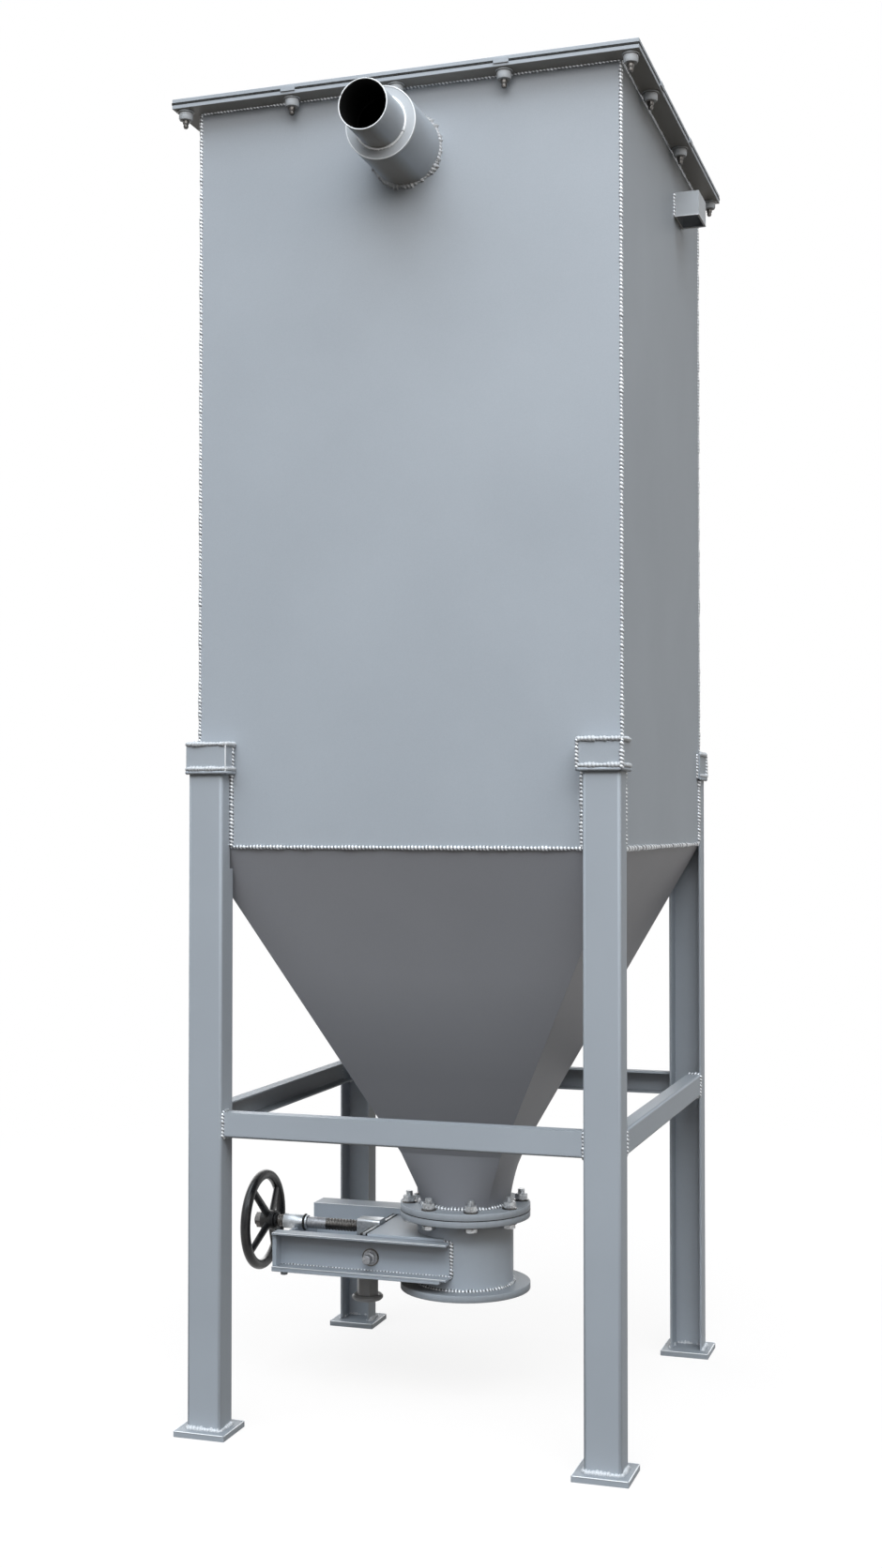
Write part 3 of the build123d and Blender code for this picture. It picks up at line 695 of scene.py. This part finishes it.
# Beads round the caps, the level ones in painted highlight, with a painted highlight along the inner edge of
# the left-hand ones
CAP_BEAD_RISE = 10 * MM
CAP_BEAD_PROUD = 12 * MM
CAP_REAR = 25 * MM
CAP_LINE = 2 * MM
cap_inner_x = leg_inner_x - CAP_OVERHANG
cap_runs = []
cap_lips = []
cap_lines = []
cap_uprights = []
cap_levels = ((cap_high.z, cap_runs), (cap_low.z + CAP_BEAD_RISE, cap_runs), (cap_low.z, cap_lips))
for side_x, side_y in CORNERS:
    outer = Vector((side_x * cap_high.x, side_y * cap_high.y, 0))
    inner = Vector((side_x * cap_inner_x, side_y * cap_high.y, 0))
    rear = Vector((side_x * cap_high.x, side_y * (leg_tip_y - CAP_REAR), 0))
    wall = Vector((side_x * cap_inner_x, side_y * back_y, 0))
    for height, runs in cap_levels:
        lift = UP * height
        runs.append((inner + lift, outer + lift))
        runs.append((outer + lift, rear + lift))
        runs.append((inner + lift, wall + lift))
    beside = Vector((side_x * right_x, rear.y, 0))
    near_wall = wall + BACK * side_y * CAP_BEAD_PROUD
    if side_x < 0:
        cap_lines.append((inner + UP * cap_low.z, inner + UP * cap_high.z))
        upright = (near_wall, beside)
    else:
        upright = (inner, near_wall, beside, outer)
    for corner in upright:
        cap_uprights.append((corner + UP * cap_low.z, corner + UP * cap_high.z))
weld_piece("cap_welds", radius=7 * MM, runs=cap_runs, depth=0.35, wander=0.35, material=BEAD_HIGHLIGHT)
weld_piece("cap_side_welds", radius=6 * MM, runs=cap_uprights, depth=0.35, wander=0.4)
edge_line("cap_edges", CAP_LINE, cap_lines)
weld_piece("cap_lips", radius=5.5 * MM, runs=cap_lips, depth=0.1, wander=0.15, material=GREY)

# Beads at the ends of the braces
brace_runs = []
for side in SIDES:
    for end in SIDES:
        x = end * leg_inner_x
        y = side * brace_low.y
        brace_runs.append(upright_run(x, y, brace_low.z, brace_high.z))
        for z in (brace_low.z, brace_high.z):
            brace_runs.append(level_run((x, y), (x, side * brace_high.y), z))
        x = side * side_brace_high.x
        y = end * leg_tip_y
        brace_runs.append(upright_run(x, y, brace_low.z, brace_high.z))
        for z in (brace_low.z, brace_high.z):
            brace_runs.append(level_run((x, y), (side * side_brace_low.x, y), z))
weld_piece("brace_welds", radius=6 * MM, runs=brace_runs)

# Beads at the feet, lighter as painted highlight
foot_runs = []
for side_x, side_y in CORNERS:
    outer = Vector((side_x * leg_high.x, side_y * -leg_low.y, base_top))
    inner = Vector((side_x * leg_low.x, side_y * -leg_low.y, base_top))
    outer_tip = Vector((side_x * leg_high.x, side_y * leg_tip_y, base_top))
    inner_tip = Vector((side_x * leg_low.x, side_y * leg_tip_y, base_top))
    foot_runs += [(outer, inner), (outer, outer_tip), (inner, inner_tip)]
weld_piece("foot_welds", radius=9 * MM, runs=foot_runs, depth=0.4, wander=0.45, material=BEAD_HIGHLIGHT)

# Painted highlights along the edges of the base plates
BASE_LINE = 1.6 * MM
base_lines = []
for mount_name, mount in mounts.items():
    if mount_name.startswith("base_"):
        x, y = mount["pos_m"][:2]
        reach_x = base_high.x - abs(x) - BASE_LINE / 2
        reach_y = base_high.y - abs(y) - BASE_LINE / 2
        z = base_top - BASE_LINE / 2
        for side in SIDES:
            line_x = x + side * reach_x
            line_y = y + side * reach_y
            base_lines.append(level_run((x - reach_x, line_y), (x + reach_x, line_y), z))
            base_lines.append(level_run((line_x, y - reach_y), (line_x, y + reach_y), z))
edge_line("base_edges", BASE_LINE, base_lines)

# Beads of the inlet, lighter as painted highlight, and painted highlights along its lips
SPIGOT_BEAD = 4.5 * MM
SPIGOT_BEAD_OUT = 2 * MM
INLET_LIP = 1.7 * MM
inlet = (stub_low + stub_high) / 2
stub_radius = (stub_high.x - stub_low.x) / 2
spigot_radius = (spigot_high.x - spigot_low.x) / 2


def inlet_circle(y, radius):
    """Ring of a bead round the inlet's axis."""
    return (inlet.x, y, inlet.z), radius, RIGHT, UP


weld_piece("inlet_base_weld", radius=9 * MM, rings=(inlet_circle(front_y, stub_radius),),
           depth=0.5, wander=0.7, material=BEAD_HIGHLIGHT)
weld_piece("inlet_spigot_weld", radius=SPIGOT_BEAD,
           rings=(inlet_circle(spigot_high.y, spigot_radius + SPIGOT_BEAD_OUT),),
           depth=0.1, wander=0.25, material=EDGE_HIGHLIGHT)
edge_line("inlet_lips", INLET_LIP, rings=(inlet_circle(inlet_ring_front, stub_radius - INLET_LIP),
                                          inlet_circle(spigot_low.y, spigot_radius - INLET_LIP)))

# Beads of the outlet
NECK_RADIUS = 132 * MM
weld_piece("outlet_neck_weld", radius=8 * MM, rings=(((0, 0, outlet_top), NECK_RADIUS, RIGHT, BACK),),
           depth=0.35, wander=0.45)
weld_piece("gate_body_welds", radius=6.5 * MM, depth=0.4, wander=0.5,
           rings=(((0, 0, body_low.z), outlet_radius, RIGHT, BACK),
                  ((0, 0, body_high.z), outlet_radius, RIGHT, BACK)))

# Beads of the rails: round their ends on the body, and along their lower inside corners
RAIL_WEB = 6 * MM
RAIL_HOOK = 24 * MM
RAIL_BEAD_OUT = 3 * MM
RAIL_BEAD_PAST = 2 * MM
RAIL_SEAM_START = 15 * MM
rail_runs = []
rail_seams = []
for side in SIDES:
    rail_y = side * (outlet_radius + RAIL_BEAD_OUT)
    bead_x = rail_high.x + RAIL_BEAD_PAST
    rail_runs.append(upright_run(bead_x, rail_y, rail_low.z, rail_high.z))
    for z in (rail_low.z, rail_high.z):
        rail_runs.append(level_run((bead_x - RAIL_HOOK, rail_y), (bead_x, rail_y), z))
    web_y = side * (outlet_radius + RAIL_WEB)
    rail_seams.append(level_run((rail_low.x + RAIL_SEAM_START, web_y), (rail_high.x, web_y),
                                rail_low.z + RAIL_WEB))
weld_piece("rail_welds", radius=6 * MM, runs=rail_runs, wander=0.45)
weld_piece("rail_seam_welds", radius=3 * MM, runs=rail_seams, wander=0.6)

# Painted highlights along the edges of the rails' flanges
RAIL_LINE = 1.3 * MM
RAIL_LINE_SINK = 0.4 * MM
line_y = rail_low.y + RAIL_LINE_SINK
rail_lines = [level_run((rail_low.x, line_y), (rail_high.x, line_y), z)
              for z in (rail_high.z - RAIL_LINE_SINK, rail_low.z + RAIL_WEB - RAIL_LINE_SINK)]
line_y = back_rail_low.y + RAIL_LINE_SINK
rail_lines.append(level_run((back_rail_low.x, line_y), (back_rail_high.x, line_y),
                            back_rail_high.z - RAIL_LINE_SINK))
edge_line("rail_edges", RAIL_LINE, rail_lines)

# Beads of the wall socket, and painted highlights along its lower lips
SOCKET_LIP = 1.8 * MM
socket_runs = []
socket_lips = []
for y in (socket_low.y, socket_high.y):
    socket_runs.append(upright_run(right_x, y, socket_low.z, socket_high.z))
    socket_lips.append(level_run((right_x, y), (socket_high.x, y), socket_low.z))
socket_lips.append(level_run((socket_high.x, socket_low.y), (socket_high.x, socket_high.y), socket_low.z))
weld_piece("socket_welds", radius=5.5 * MM, runs=socket_runs)
edge_line("socket_lips", SOCKET_LIP, socket_lips)

# Cover bolts: places, profiles of nut and thread end in millimetres, and low heads above the cover
FRONT_BOLTS = (-632 * MM, -312 * MM, -10 * MM, 292 * MM, 632 * MM)
SIDE_BOLTS = (-330 * MM, 105 * MM)
BOLT_INSET = 30 * MM
COVER_NUT = ((22, 0), (23, 1), (23, 3.5), (22, 4.5), (18, 4.5), (19.5, 7), (19.5, 20),
             (17, 24.5), (11, 26.5))
COVER_TAIL = ((9, 25), (9, 34), (6.5, 37), (7.5, 41), (6, 46), (3, 48))
COVER_HEAD = {"radius": 19 * MM, "height": 4 * MM}
HEAD_SINK = 1 * MM
HEAD_DEGREES = 15
HEAD_STEPS = 6
HEAD_TIP = 0.05

# Outlet bolts: sizes of nut, washer, thread end and head
OUTLET_BOLTS = 8
OUTLET_BOLT_CIRCLE = 166 * MM
OUTLET_BOLT = {"nut": 33 * MM, "nut_height": 18 * MM, "washer": 21.5 * MM, "washer_height": 3.5 * MM,
               "thread": 10.5 * MM, "tail": 13 * MM, "pitch": 2.5 * MM, "head_height": 12.5 * MM}
WASHER_FIT = 0.9
THREAD_ROOT = 0.87
THREAD_SINK = 2 * MM


def nut_end(shape, washers, place, size):
    """Nut end of a bolt up its own z from the face at the origin: washer, nut and thread end."""
    washer_top = size["washer_height"]
    nut_top = washer_top + size["nut_height"]
    crest = size["thread"]
    washers.ring(crest * WASHER_FIT, size["washer"], 0, washer_top, place)
    shape.hexagon(size["nut"], washer_top, nut_top, place)
    shape.thread(crest, crest * THREAD_ROOT, size["pitch"], nut_top - THREAD_SINK, nut_top + size["tail"],
                 place)


def head_end(shape, washers, place, size):
    """Head end of a bolt up its own z: washer and hexagon head."""
    washer_top = size["washer_height"]
    washers.ring(size["thread"] * WASHER_FIT, size["washer"], 0, washer_top, place)
    shape.hexagon(size["nut"], washer_top, washer_top + size["head_height"], place)


def round_head(shape, place, radius, height):
    """Low domed head that lies flat on the cover."""
    turns = [radians(HEAD_DEGREES * i) for i in range(HEAD_STEPS)]
    arc = [(radius * cos(t), height * sin(t)) for t in turns]
    shape.lathe([(radius, -HEAD_SINK), *arc, (radius * HEAD_TIP, height)], place, sides=32)


def in_metres(profile):
    """Profile of radius and height from millimetres."""
    return [(r * MM, z * MM) for r, z in profile]


def turned_down(x, y, z, turn):
    """Place whose own z points down."""
    return Matrix.Translation((x, y, z)) @ Matrix.Rotation(pi, 4, "X") @ Matrix.Rotation(turn, 4, "Z")


luck = random.Random(SEED)
cover_bolts = Shape()
cover_tails = Shape()
row_y = cover_high.y - BOLT_INSET
row_x = cover_high.x - BOLT_INSET
bolt_places = [(x, side * row_y) for side in SIDES for x in FRONT_BOLTS]
bolt_places += [(side * row_x, y) for side in SIDES for y in SIDE_BOLTS]
for x, y in bolt_places:
    below = turned_down(x, y, rim_bottom, 0)
    cover_bolts.lathe(in_metres(COVER_NUT), below)
    cover_tails.lathe(in_metres(COVER_TAIL), below)
    round_head(cover_bolts, Matrix.Translation((x, y, cover_high.z)), **COVER_HEAD)
cover_bolts.piece("cover_bolts", LIT_SILVER)
cover_tails.piece("cover_bolt_tails", GREASED)

outlet_bolts = Shape()
outlet_washers = Shape()
for i in range(OUTLET_BOLTS):
    turn = 2 * pi * (i + 0.5) / OUTLET_BOLTS
    x = OUTLET_BOLT_CIRCLE * cos(turn)
    y = OUTLET_BOLT_CIRCLE * sin(turn)
    upright = Matrix.Translation((x, y, outlet_top)) @ Matrix.Rotation(luck.uniform(0, pi), 4, "Z")
    nut_end(outlet_bolts, outlet_washers, upright, OUTLET_BOLT)
    hanging = turned_down(x, y, gate_flange_low.z, luck.uniform(0, pi))
    head_end(outlet_bolts, outlet_washers, hanging, OUTLET_BOLT)
outlet_bolts.piece("outlet_bolts", ZINC)
outlet_washers.piece("outlet_washers", GREASED)

# Dark joint between the two outlet flanges
JOINT_RISE = 1.3 * MM
JOINT_STRIP = 12 * MM
JOINT_PROUD = 0.3 * MM
joint = Shape()
joint.ring(gate_flange_high.x - JOINT_STRIP, gate_flange_high.x + JOINT_PROUD,
           gate_flange_high.z - JOINT_RISE, gate_flange_high.z + JOINT_RISE, Matrix(), sides=96,
           edge=JOINT_PROUD)
joint.piece("flange_joint", RUBBER)

# Bolt in the front rail: dark ring as painted shadow, bright washer, head, thread end and plain stud in
# millimetres
RAIL_BOLT_X = -244 * MM
RAIL_BOLT_Z = 402 * MM
SHADOW_WASHER = {"inner": 8 * MM, "outer": 26 * MM, "low": 0, "high": 2 * MM}
BRIGHT_WASHER = {"inner": 8 * MM, "outer": 22 * MM, "low": 2 * MM, "high": 5 * MM}
RAIL_HEAD = {"width": 30 * MM, "low": 4 * MM, "high": 15 * MM}
RAIL_THREAD = {"crest": 10 * MM, "root": 8.7 * MM, "pitch": 2.5 * MM, "low": 14 * MM, "high": 24 * MM}
RAIL_STUD = ((11.5, 23), (13, 24.5), (13, 40), (11.5, 41.5))
rail_web_y = -outlet_radius - RAIL_WEB
to_front = Matrix.Translation((RAIL_BOLT_X, rail_web_y, RAIL_BOLT_Z)) @ Matrix.Rotation(radians(90), 4, "X")
# Dark ring round the bolt: painted shadow
rail_shadow_ring = Shape()
rail_shadow_ring.ring(place=to_front, **SHADOW_WASHER)
rail_shadow_ring.piece("rail_bolt_washer", GREASED)
rail_bolt = Shape()
rail_bolt.ring(place=to_front, **BRIGHT_WASHER)
rail_bolt.hexagon(place=to_front, **RAIL_HEAD)
rail_bolt.thread(place=to_front, **RAIL_THREAD)
rail_bolt.lathe(in_metres(RAIL_STUD), to_front, sides=32)
rail_bolt.piece("rail_bolt", DULL_STEEL)

# Bolt head under the outer end of each rail
FOOT_BOLT_INSET = 34 * MM
FOOT_BOLT_OUT = 33 * MM
FOOT_WASHER = {"inner": 6 * MM, "outer": 12.5 * MM, "low": 0, "high": 2.5 * MM}
FOOT_HEAD = {"width": 19 * MM, "low": 2.5 * MM, "high": 10 * MM}
foot_bolts = Shape()
for side in SIDES:
    below = turned_down(rail_low.x + FOOT_BOLT_INSET, side * (outlet_radius + FOOT_BOLT_OUT), bonnet_under,
                        luck.uniform(0, pi))
    foot_bolts.ring(place=below, **FOOT_WASHER)
    foot_bolts.hexagon(place=below, **FOOT_HEAD)
foot_bolts.piece("rail_foot_bolts", GREY)

# Tabs on the rim at bolts between the corners
TAB_BOLTS = (FRONT_BOLTS[1], FRONT_BOLTS[3])
TAB_LENGTH = 42 * MM
TAB_PROUD = 4 * MM
TAB_HEIGHT = 14 * MM
TAB_DROP = 5 * MM
tabs = Shape()
tab_low = housing_top - TAB_DROP
for side in SIDES:
    edge_y = side * cover_high.y
    for x in TAB_BOLTS:
        tabs.block((x - TAB_LENGTH / 2, edge_y - TAB_PROUD, tab_low),
                   (x + TAB_LENGTH / 2, edge_y + TAB_PROUD, tab_low + TAB_HEIGHT))
    edge_x = side * cover_high.x
    for y in SIDE_BOLTS:
        tabs.block((edge_x - TAB_PROUD, y - TAB_LENGTH / 2, tab_low),
                   (edge_x + TAB_PROUD, y + TAB_LENGTH / 2, tab_low + TAB_HEIGHT))
tabs.piece("rim_tabs", GREY, edge=PLATE_EDGE)

# Edge of the gasket, pressed out round the rim
GASKET_SPILL = 0.8 * MM
GASKET_RISE = 1.8 * MM
GASKET_STRIP = 6 * MM
GASKET_ROUND = 0.4 * MM
gasket_edge = Shape()
edge_low = gasket_low.z - GASKET_RISE
edge_high = gasket_high.z + GASKET_RISE
for side in SIDES:
    near, far = sorted((side * (gasket_high.y - GASKET_STRIP), side * (gasket_high.y + GASKET_SPILL)))
    gasket_edge.block((gasket_low.x - GASKET_SPILL, near, edge_low),
                      (gasket_high.x + GASKET_SPILL, far, edge_high))
    near, far = sorted((side * (gasket_high.x - GASKET_STRIP), side * (gasket_high.x + GASKET_SPILL)))
    gasket_edge.block((near, gasket_low.y, edge_low), (far, gasket_high.y, edge_high))
gasket_edge.piece("gasket_edge", RUBBER, edge=GASKET_ROUND)

# Dark lining inside the wall socket: painted shade
SOCKET_WALL = Vector((6 * MM, 6 * MM, 0))
LINING_COAT = 0.5 * MM
LINING_SHORT = 1 * MM
LINING_ROUND = 0.1 * MM
inside_low = socket_low + SOCKET_WALL
inside_high = socket_high - SOCKET_WALL
coat_low = inside_low.z + LINING_SHORT
coat_high = inside_high.z - LINING_SHORT
lining = Shape()
for x in (inside_low.x, inside_high.x - LINING_COAT):
    lining.block((x, inside_low.y, coat_low), (x + LINING_COAT, inside_high.y, coat_high))
for y in (inside_low.y, inside_high.y - LINING_COAT):
    lining.block((inside_low.x, y, coat_low), (inside_high.x, y + LINING_COAT, coat_high))
lining.piece("socket_primer", SOCKET_SHADE, edge=LINING_ROUND)

# Screw spindle: greased thread at both ends of a plain shank, in place of the plain bar
SCREW_LEAD = 10 * MM
SCREW_DEPTH = 2.4 * MM
SCREW_SHARP = radians(50)
SHANK_LENGTH = 72 * MM
SHANK_START = 2 * MM
SHANK_SLIM = 0.4 * MM
SHANK_END = 1 * MM
spindle_axis = (spindle_low + spindle_high) / 2
spindle_radius = (spindle_high.z - spindle_low.z) / 2
along_x = Matrix.Translation((0, 0, spindle_axis.z)) @ Matrix.Rotation(radians(90), 4, "Y")
shank_left = bush_end + SHANK_START
shank_right = shank_left + SHANK_LENGTH
screw = Shape()
for low, high in ((spindle_low.x, shank_left), (shank_right, spindle_high.x)):
    screw.thread(spindle_radius, spindle_radius - SCREW_DEPTH, SCREW_LEAD, low, high, along_x,
                 sides=32, cuts=16)
thread_piece = screw.piece("spindle_thread", GREASED, body="wheel", sharp=SCREW_SHARP)
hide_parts("spindle")
shank = Shape()
shank.lathe(((spindle_radius - SHANK_END, shank_left), (spindle_radius - SHANK_SLIM, shank_left + SHANK_END),
             (spindle_radius - SHANK_SLIM, shank_right - SHANK_END),
             (spindle_radius - SHANK_END, shank_right)), along_x, sides=40)
shank.piece("spindle_shank", DULL_STEEL, body="wheel")

# Seal and gland at the inner end of the bush
SPINDLE_GAP = 0.6 * MM
SEAL = {"outer": 25 * MM, "low": bush_end, "high": bush_end + 6 * MM, "edge": 2 * MM}
GLAND = {"outer": 21.5 * MM, "low": bush_end + 6 * MM, "high": bush_end + 13 * MM, "edge": 1.5 * MM}
seal = Shape()
seal.ring(spindle_radius + SPINDLE_GAP, place=along_x, sides=40, **SEAL)
seal.piece("spindle_seal", RUBBER)
gland = Shape()
gland.ring(spindle_radius + SPINDLE_GAP, place=along_x, sides=40, **GLAND)
gland.piece("spindle_gland", GALVANISED)

# Packing strips where the blade enters the body, on both sides of the block
PACKING_WIDTH = 8 * MM
PACKING_GAP = 5 * MM
PACKING_LIFT = 0.3 * MM
RUBBER_DROP = 1.5 * MM
packing_low = bonnet_low.z + PACKING_LIFT
rubber_strips = Shape()
metal_strip = Shape()
packing_rows = ((rubber_strips, RUBBER_DROP), (metal_strip, 0), (rubber_strips, RUBBER_DROP))
for side in SIDES:
    near, far = sorted((side * (block_high.y + PACKING_GAP), side * outlet_radius))
    for row, (strip, drop) in enumerate(packing_rows):
        right = bonnet_low.x - row * PACKING_WIDTH
        strip.block((right - PACKING_WIDTH, near, packing_low), (right, far, bonnet_high.z - drop))
rubber_strips.piece("blade_packing", RUBBER, edge=PLATE_EDGE)
metal_strip.piece("packing_strip", GALVANISED, edge=PLATE_EDGE)

# Collar between the wheel and the bush
COLLAR = {"outer": 23 * MM, "low": hub_right, "high": hub_right + 9 * MM, "edge": 1.5 * MM}
COLLAR_GRIP = 0.2 * MM
collar = Shape()
collar.ring(spindle_radius - COLLAR_GRIP, place=along_x, sides=40, **COLLAR)
collar.piece("wheel_collar", BLACK, body="wheel")


def background_rays(tree):
    """One for rays that show the background, also in gloss and through glass, and nought for other rays."""
    path = add_node(tree, "ShaderNodeLightPath")
    shown = path.outputs["Is Camera Ray"]
    for kind in ("Is Glossy Ray", "Is Transmission Ray"):
        either = add_node(tree, "ShaderNodeMath", {0: shown, 1: path.outputs[kind]}, operation="MAXIMUM")
        shown = either.outputs[0]
    return shown


def floor_material():
    """Pale floor that shows white, keeps the object's shadow and sends little light back up."""
    material, tree, shader = material_tree("floor")
    tree.nodes.remove(shader)
    shown = background_rays(tree)
    mottle = spread(tree, noise(tree, "floor"), 0, 1)
    pale = blend_colors(tree, mottle, FLOOR_SHOWN, [c * FLOOR_MOTTLE for c in FLOOR_SHOWN])
    tone = blend_colors(tree, shown, FLOOR_BOUNCE, pale)
    surface = add_node(tree, "ShaderNodeBsdfDiffuse", {"Color": tone})
    glow = add_node(tree, "ShaderNodeEmission", {"Color": (1, 1, 1, 1), "Strength": 1.0})
    coords = add_node(tree, "ShaderNodeTexCoord")
    reach = add_node(tree, "ShaderNodeVectorMath", {0: coords.outputs["Object"]}, operation="LENGTH")
    fade = spread(tree, reach.outputs["Value"], FLOOR_GLOW, 1, *FLOOR_FADE)
    share = add_node(tree, "ShaderNodeMath", {0: shown, 1: fade}, operation="MULTIPLY")
    mix = add_node(tree, "ShaderNodeMixShader", {0: share.outputs[0]})
    tree.links.new(surface.outputs[0], mix.inputs[1])
    tree.links.new(glow.outputs[0], mix.inputs[2])
    tree.links.new(mix.outputs[0], tree.nodes["Material Output"].inputs["Surface"])
    return material


def make_floor():
    """Wide floor under the feet."""
    half = FLOOR_SIZE / 2
    corners = [(-half, -half, 0), (half, -half, 0), (half, half, 0), (-half, half, 0)]
    mesh = bpy.data.meshes.new("floor")
    mesh.from_pydata(corners, [], [(0, 1, 2, 3)])
    mesh.materials.append(floor_material())
    floor = bpy.data.objects.new("floor", mesh)
    bpy.context.scene.collection.objects.link(floor)


def make_light():
    """Broad lamps from five sides and a softbox over the front."""
    for name, lamp in LAMPS.items():
        sun = bpy.data.lights.new(name, "SUN")
        sun.energy = lamp["strength"]
        sun.angle = radians(lamp["spread"])
        sun.color = lamp["color"]
        place = bpy.data.objects.new(name, sun)
        place.rotation_euler = (radians(90 - lamp["height"]), 0, radians(lamp["turn"]))
        bpy.context.scene.collection.objects.link(place)
    box = bpy.data.lights.new("softbox", "AREA")
    box.shape = "RECTANGLE"
    box.size, box.size_y = SOFTBOX_SIZE
    box.energy = SOFTBOX_POWER
    box.color = SOFTBOX_COLOR
    place = bpy.data.objects.new("softbox", box)
    place.location = SOFTBOX_PLACE
    place.rotation_mode = "QUATERNION"
    place.rotation_quaternion = (Vector(SOFTBOX_PLACE) - Vector(SOFTBOX_AIM)).to_track_quat("Z", "Y")
    bpy.context.scene.collection.objects.link(place)


def make_sky():
    """Sky that shows white and gives no light of its own."""
    world = bpy.data.worlds.new("sky")
    world.use_nodes = True
    tree = world.node_tree
    sky = tree.nodes["Background"]
    sky.inputs["Color"].default_value = (1, 1, 1, 1)
    tree.links.new(background_rays(tree), sky.inputs["Strength"])
    bpy.context.scene.world = world


def make_camera():
    """Camera where the photograph was taken."""
    camera = bpy.data.cameras.new("camera")
    camera.sensor_width = SENSOR
    camera.lens = FOCAL_PIXELS / PHOTO_HEIGHT * SENSOR
    camera.clip_end = CAMERA_REACH
    view = bpy.data.objects.new("camera", camera)
    view.location = CAMERA_PLACE
    view.rotation_euler = (pi / 2 + CAMERA_PITCH, 0, CAMERA_YAW)
    bpy.context.scene.collection.objects.link(view)
    bpy.context.scene.camera = view


make_floor()
make_light()
make_sky()
make_camera()
bpy.context.scene.view_settings.view_transform = "Standard"
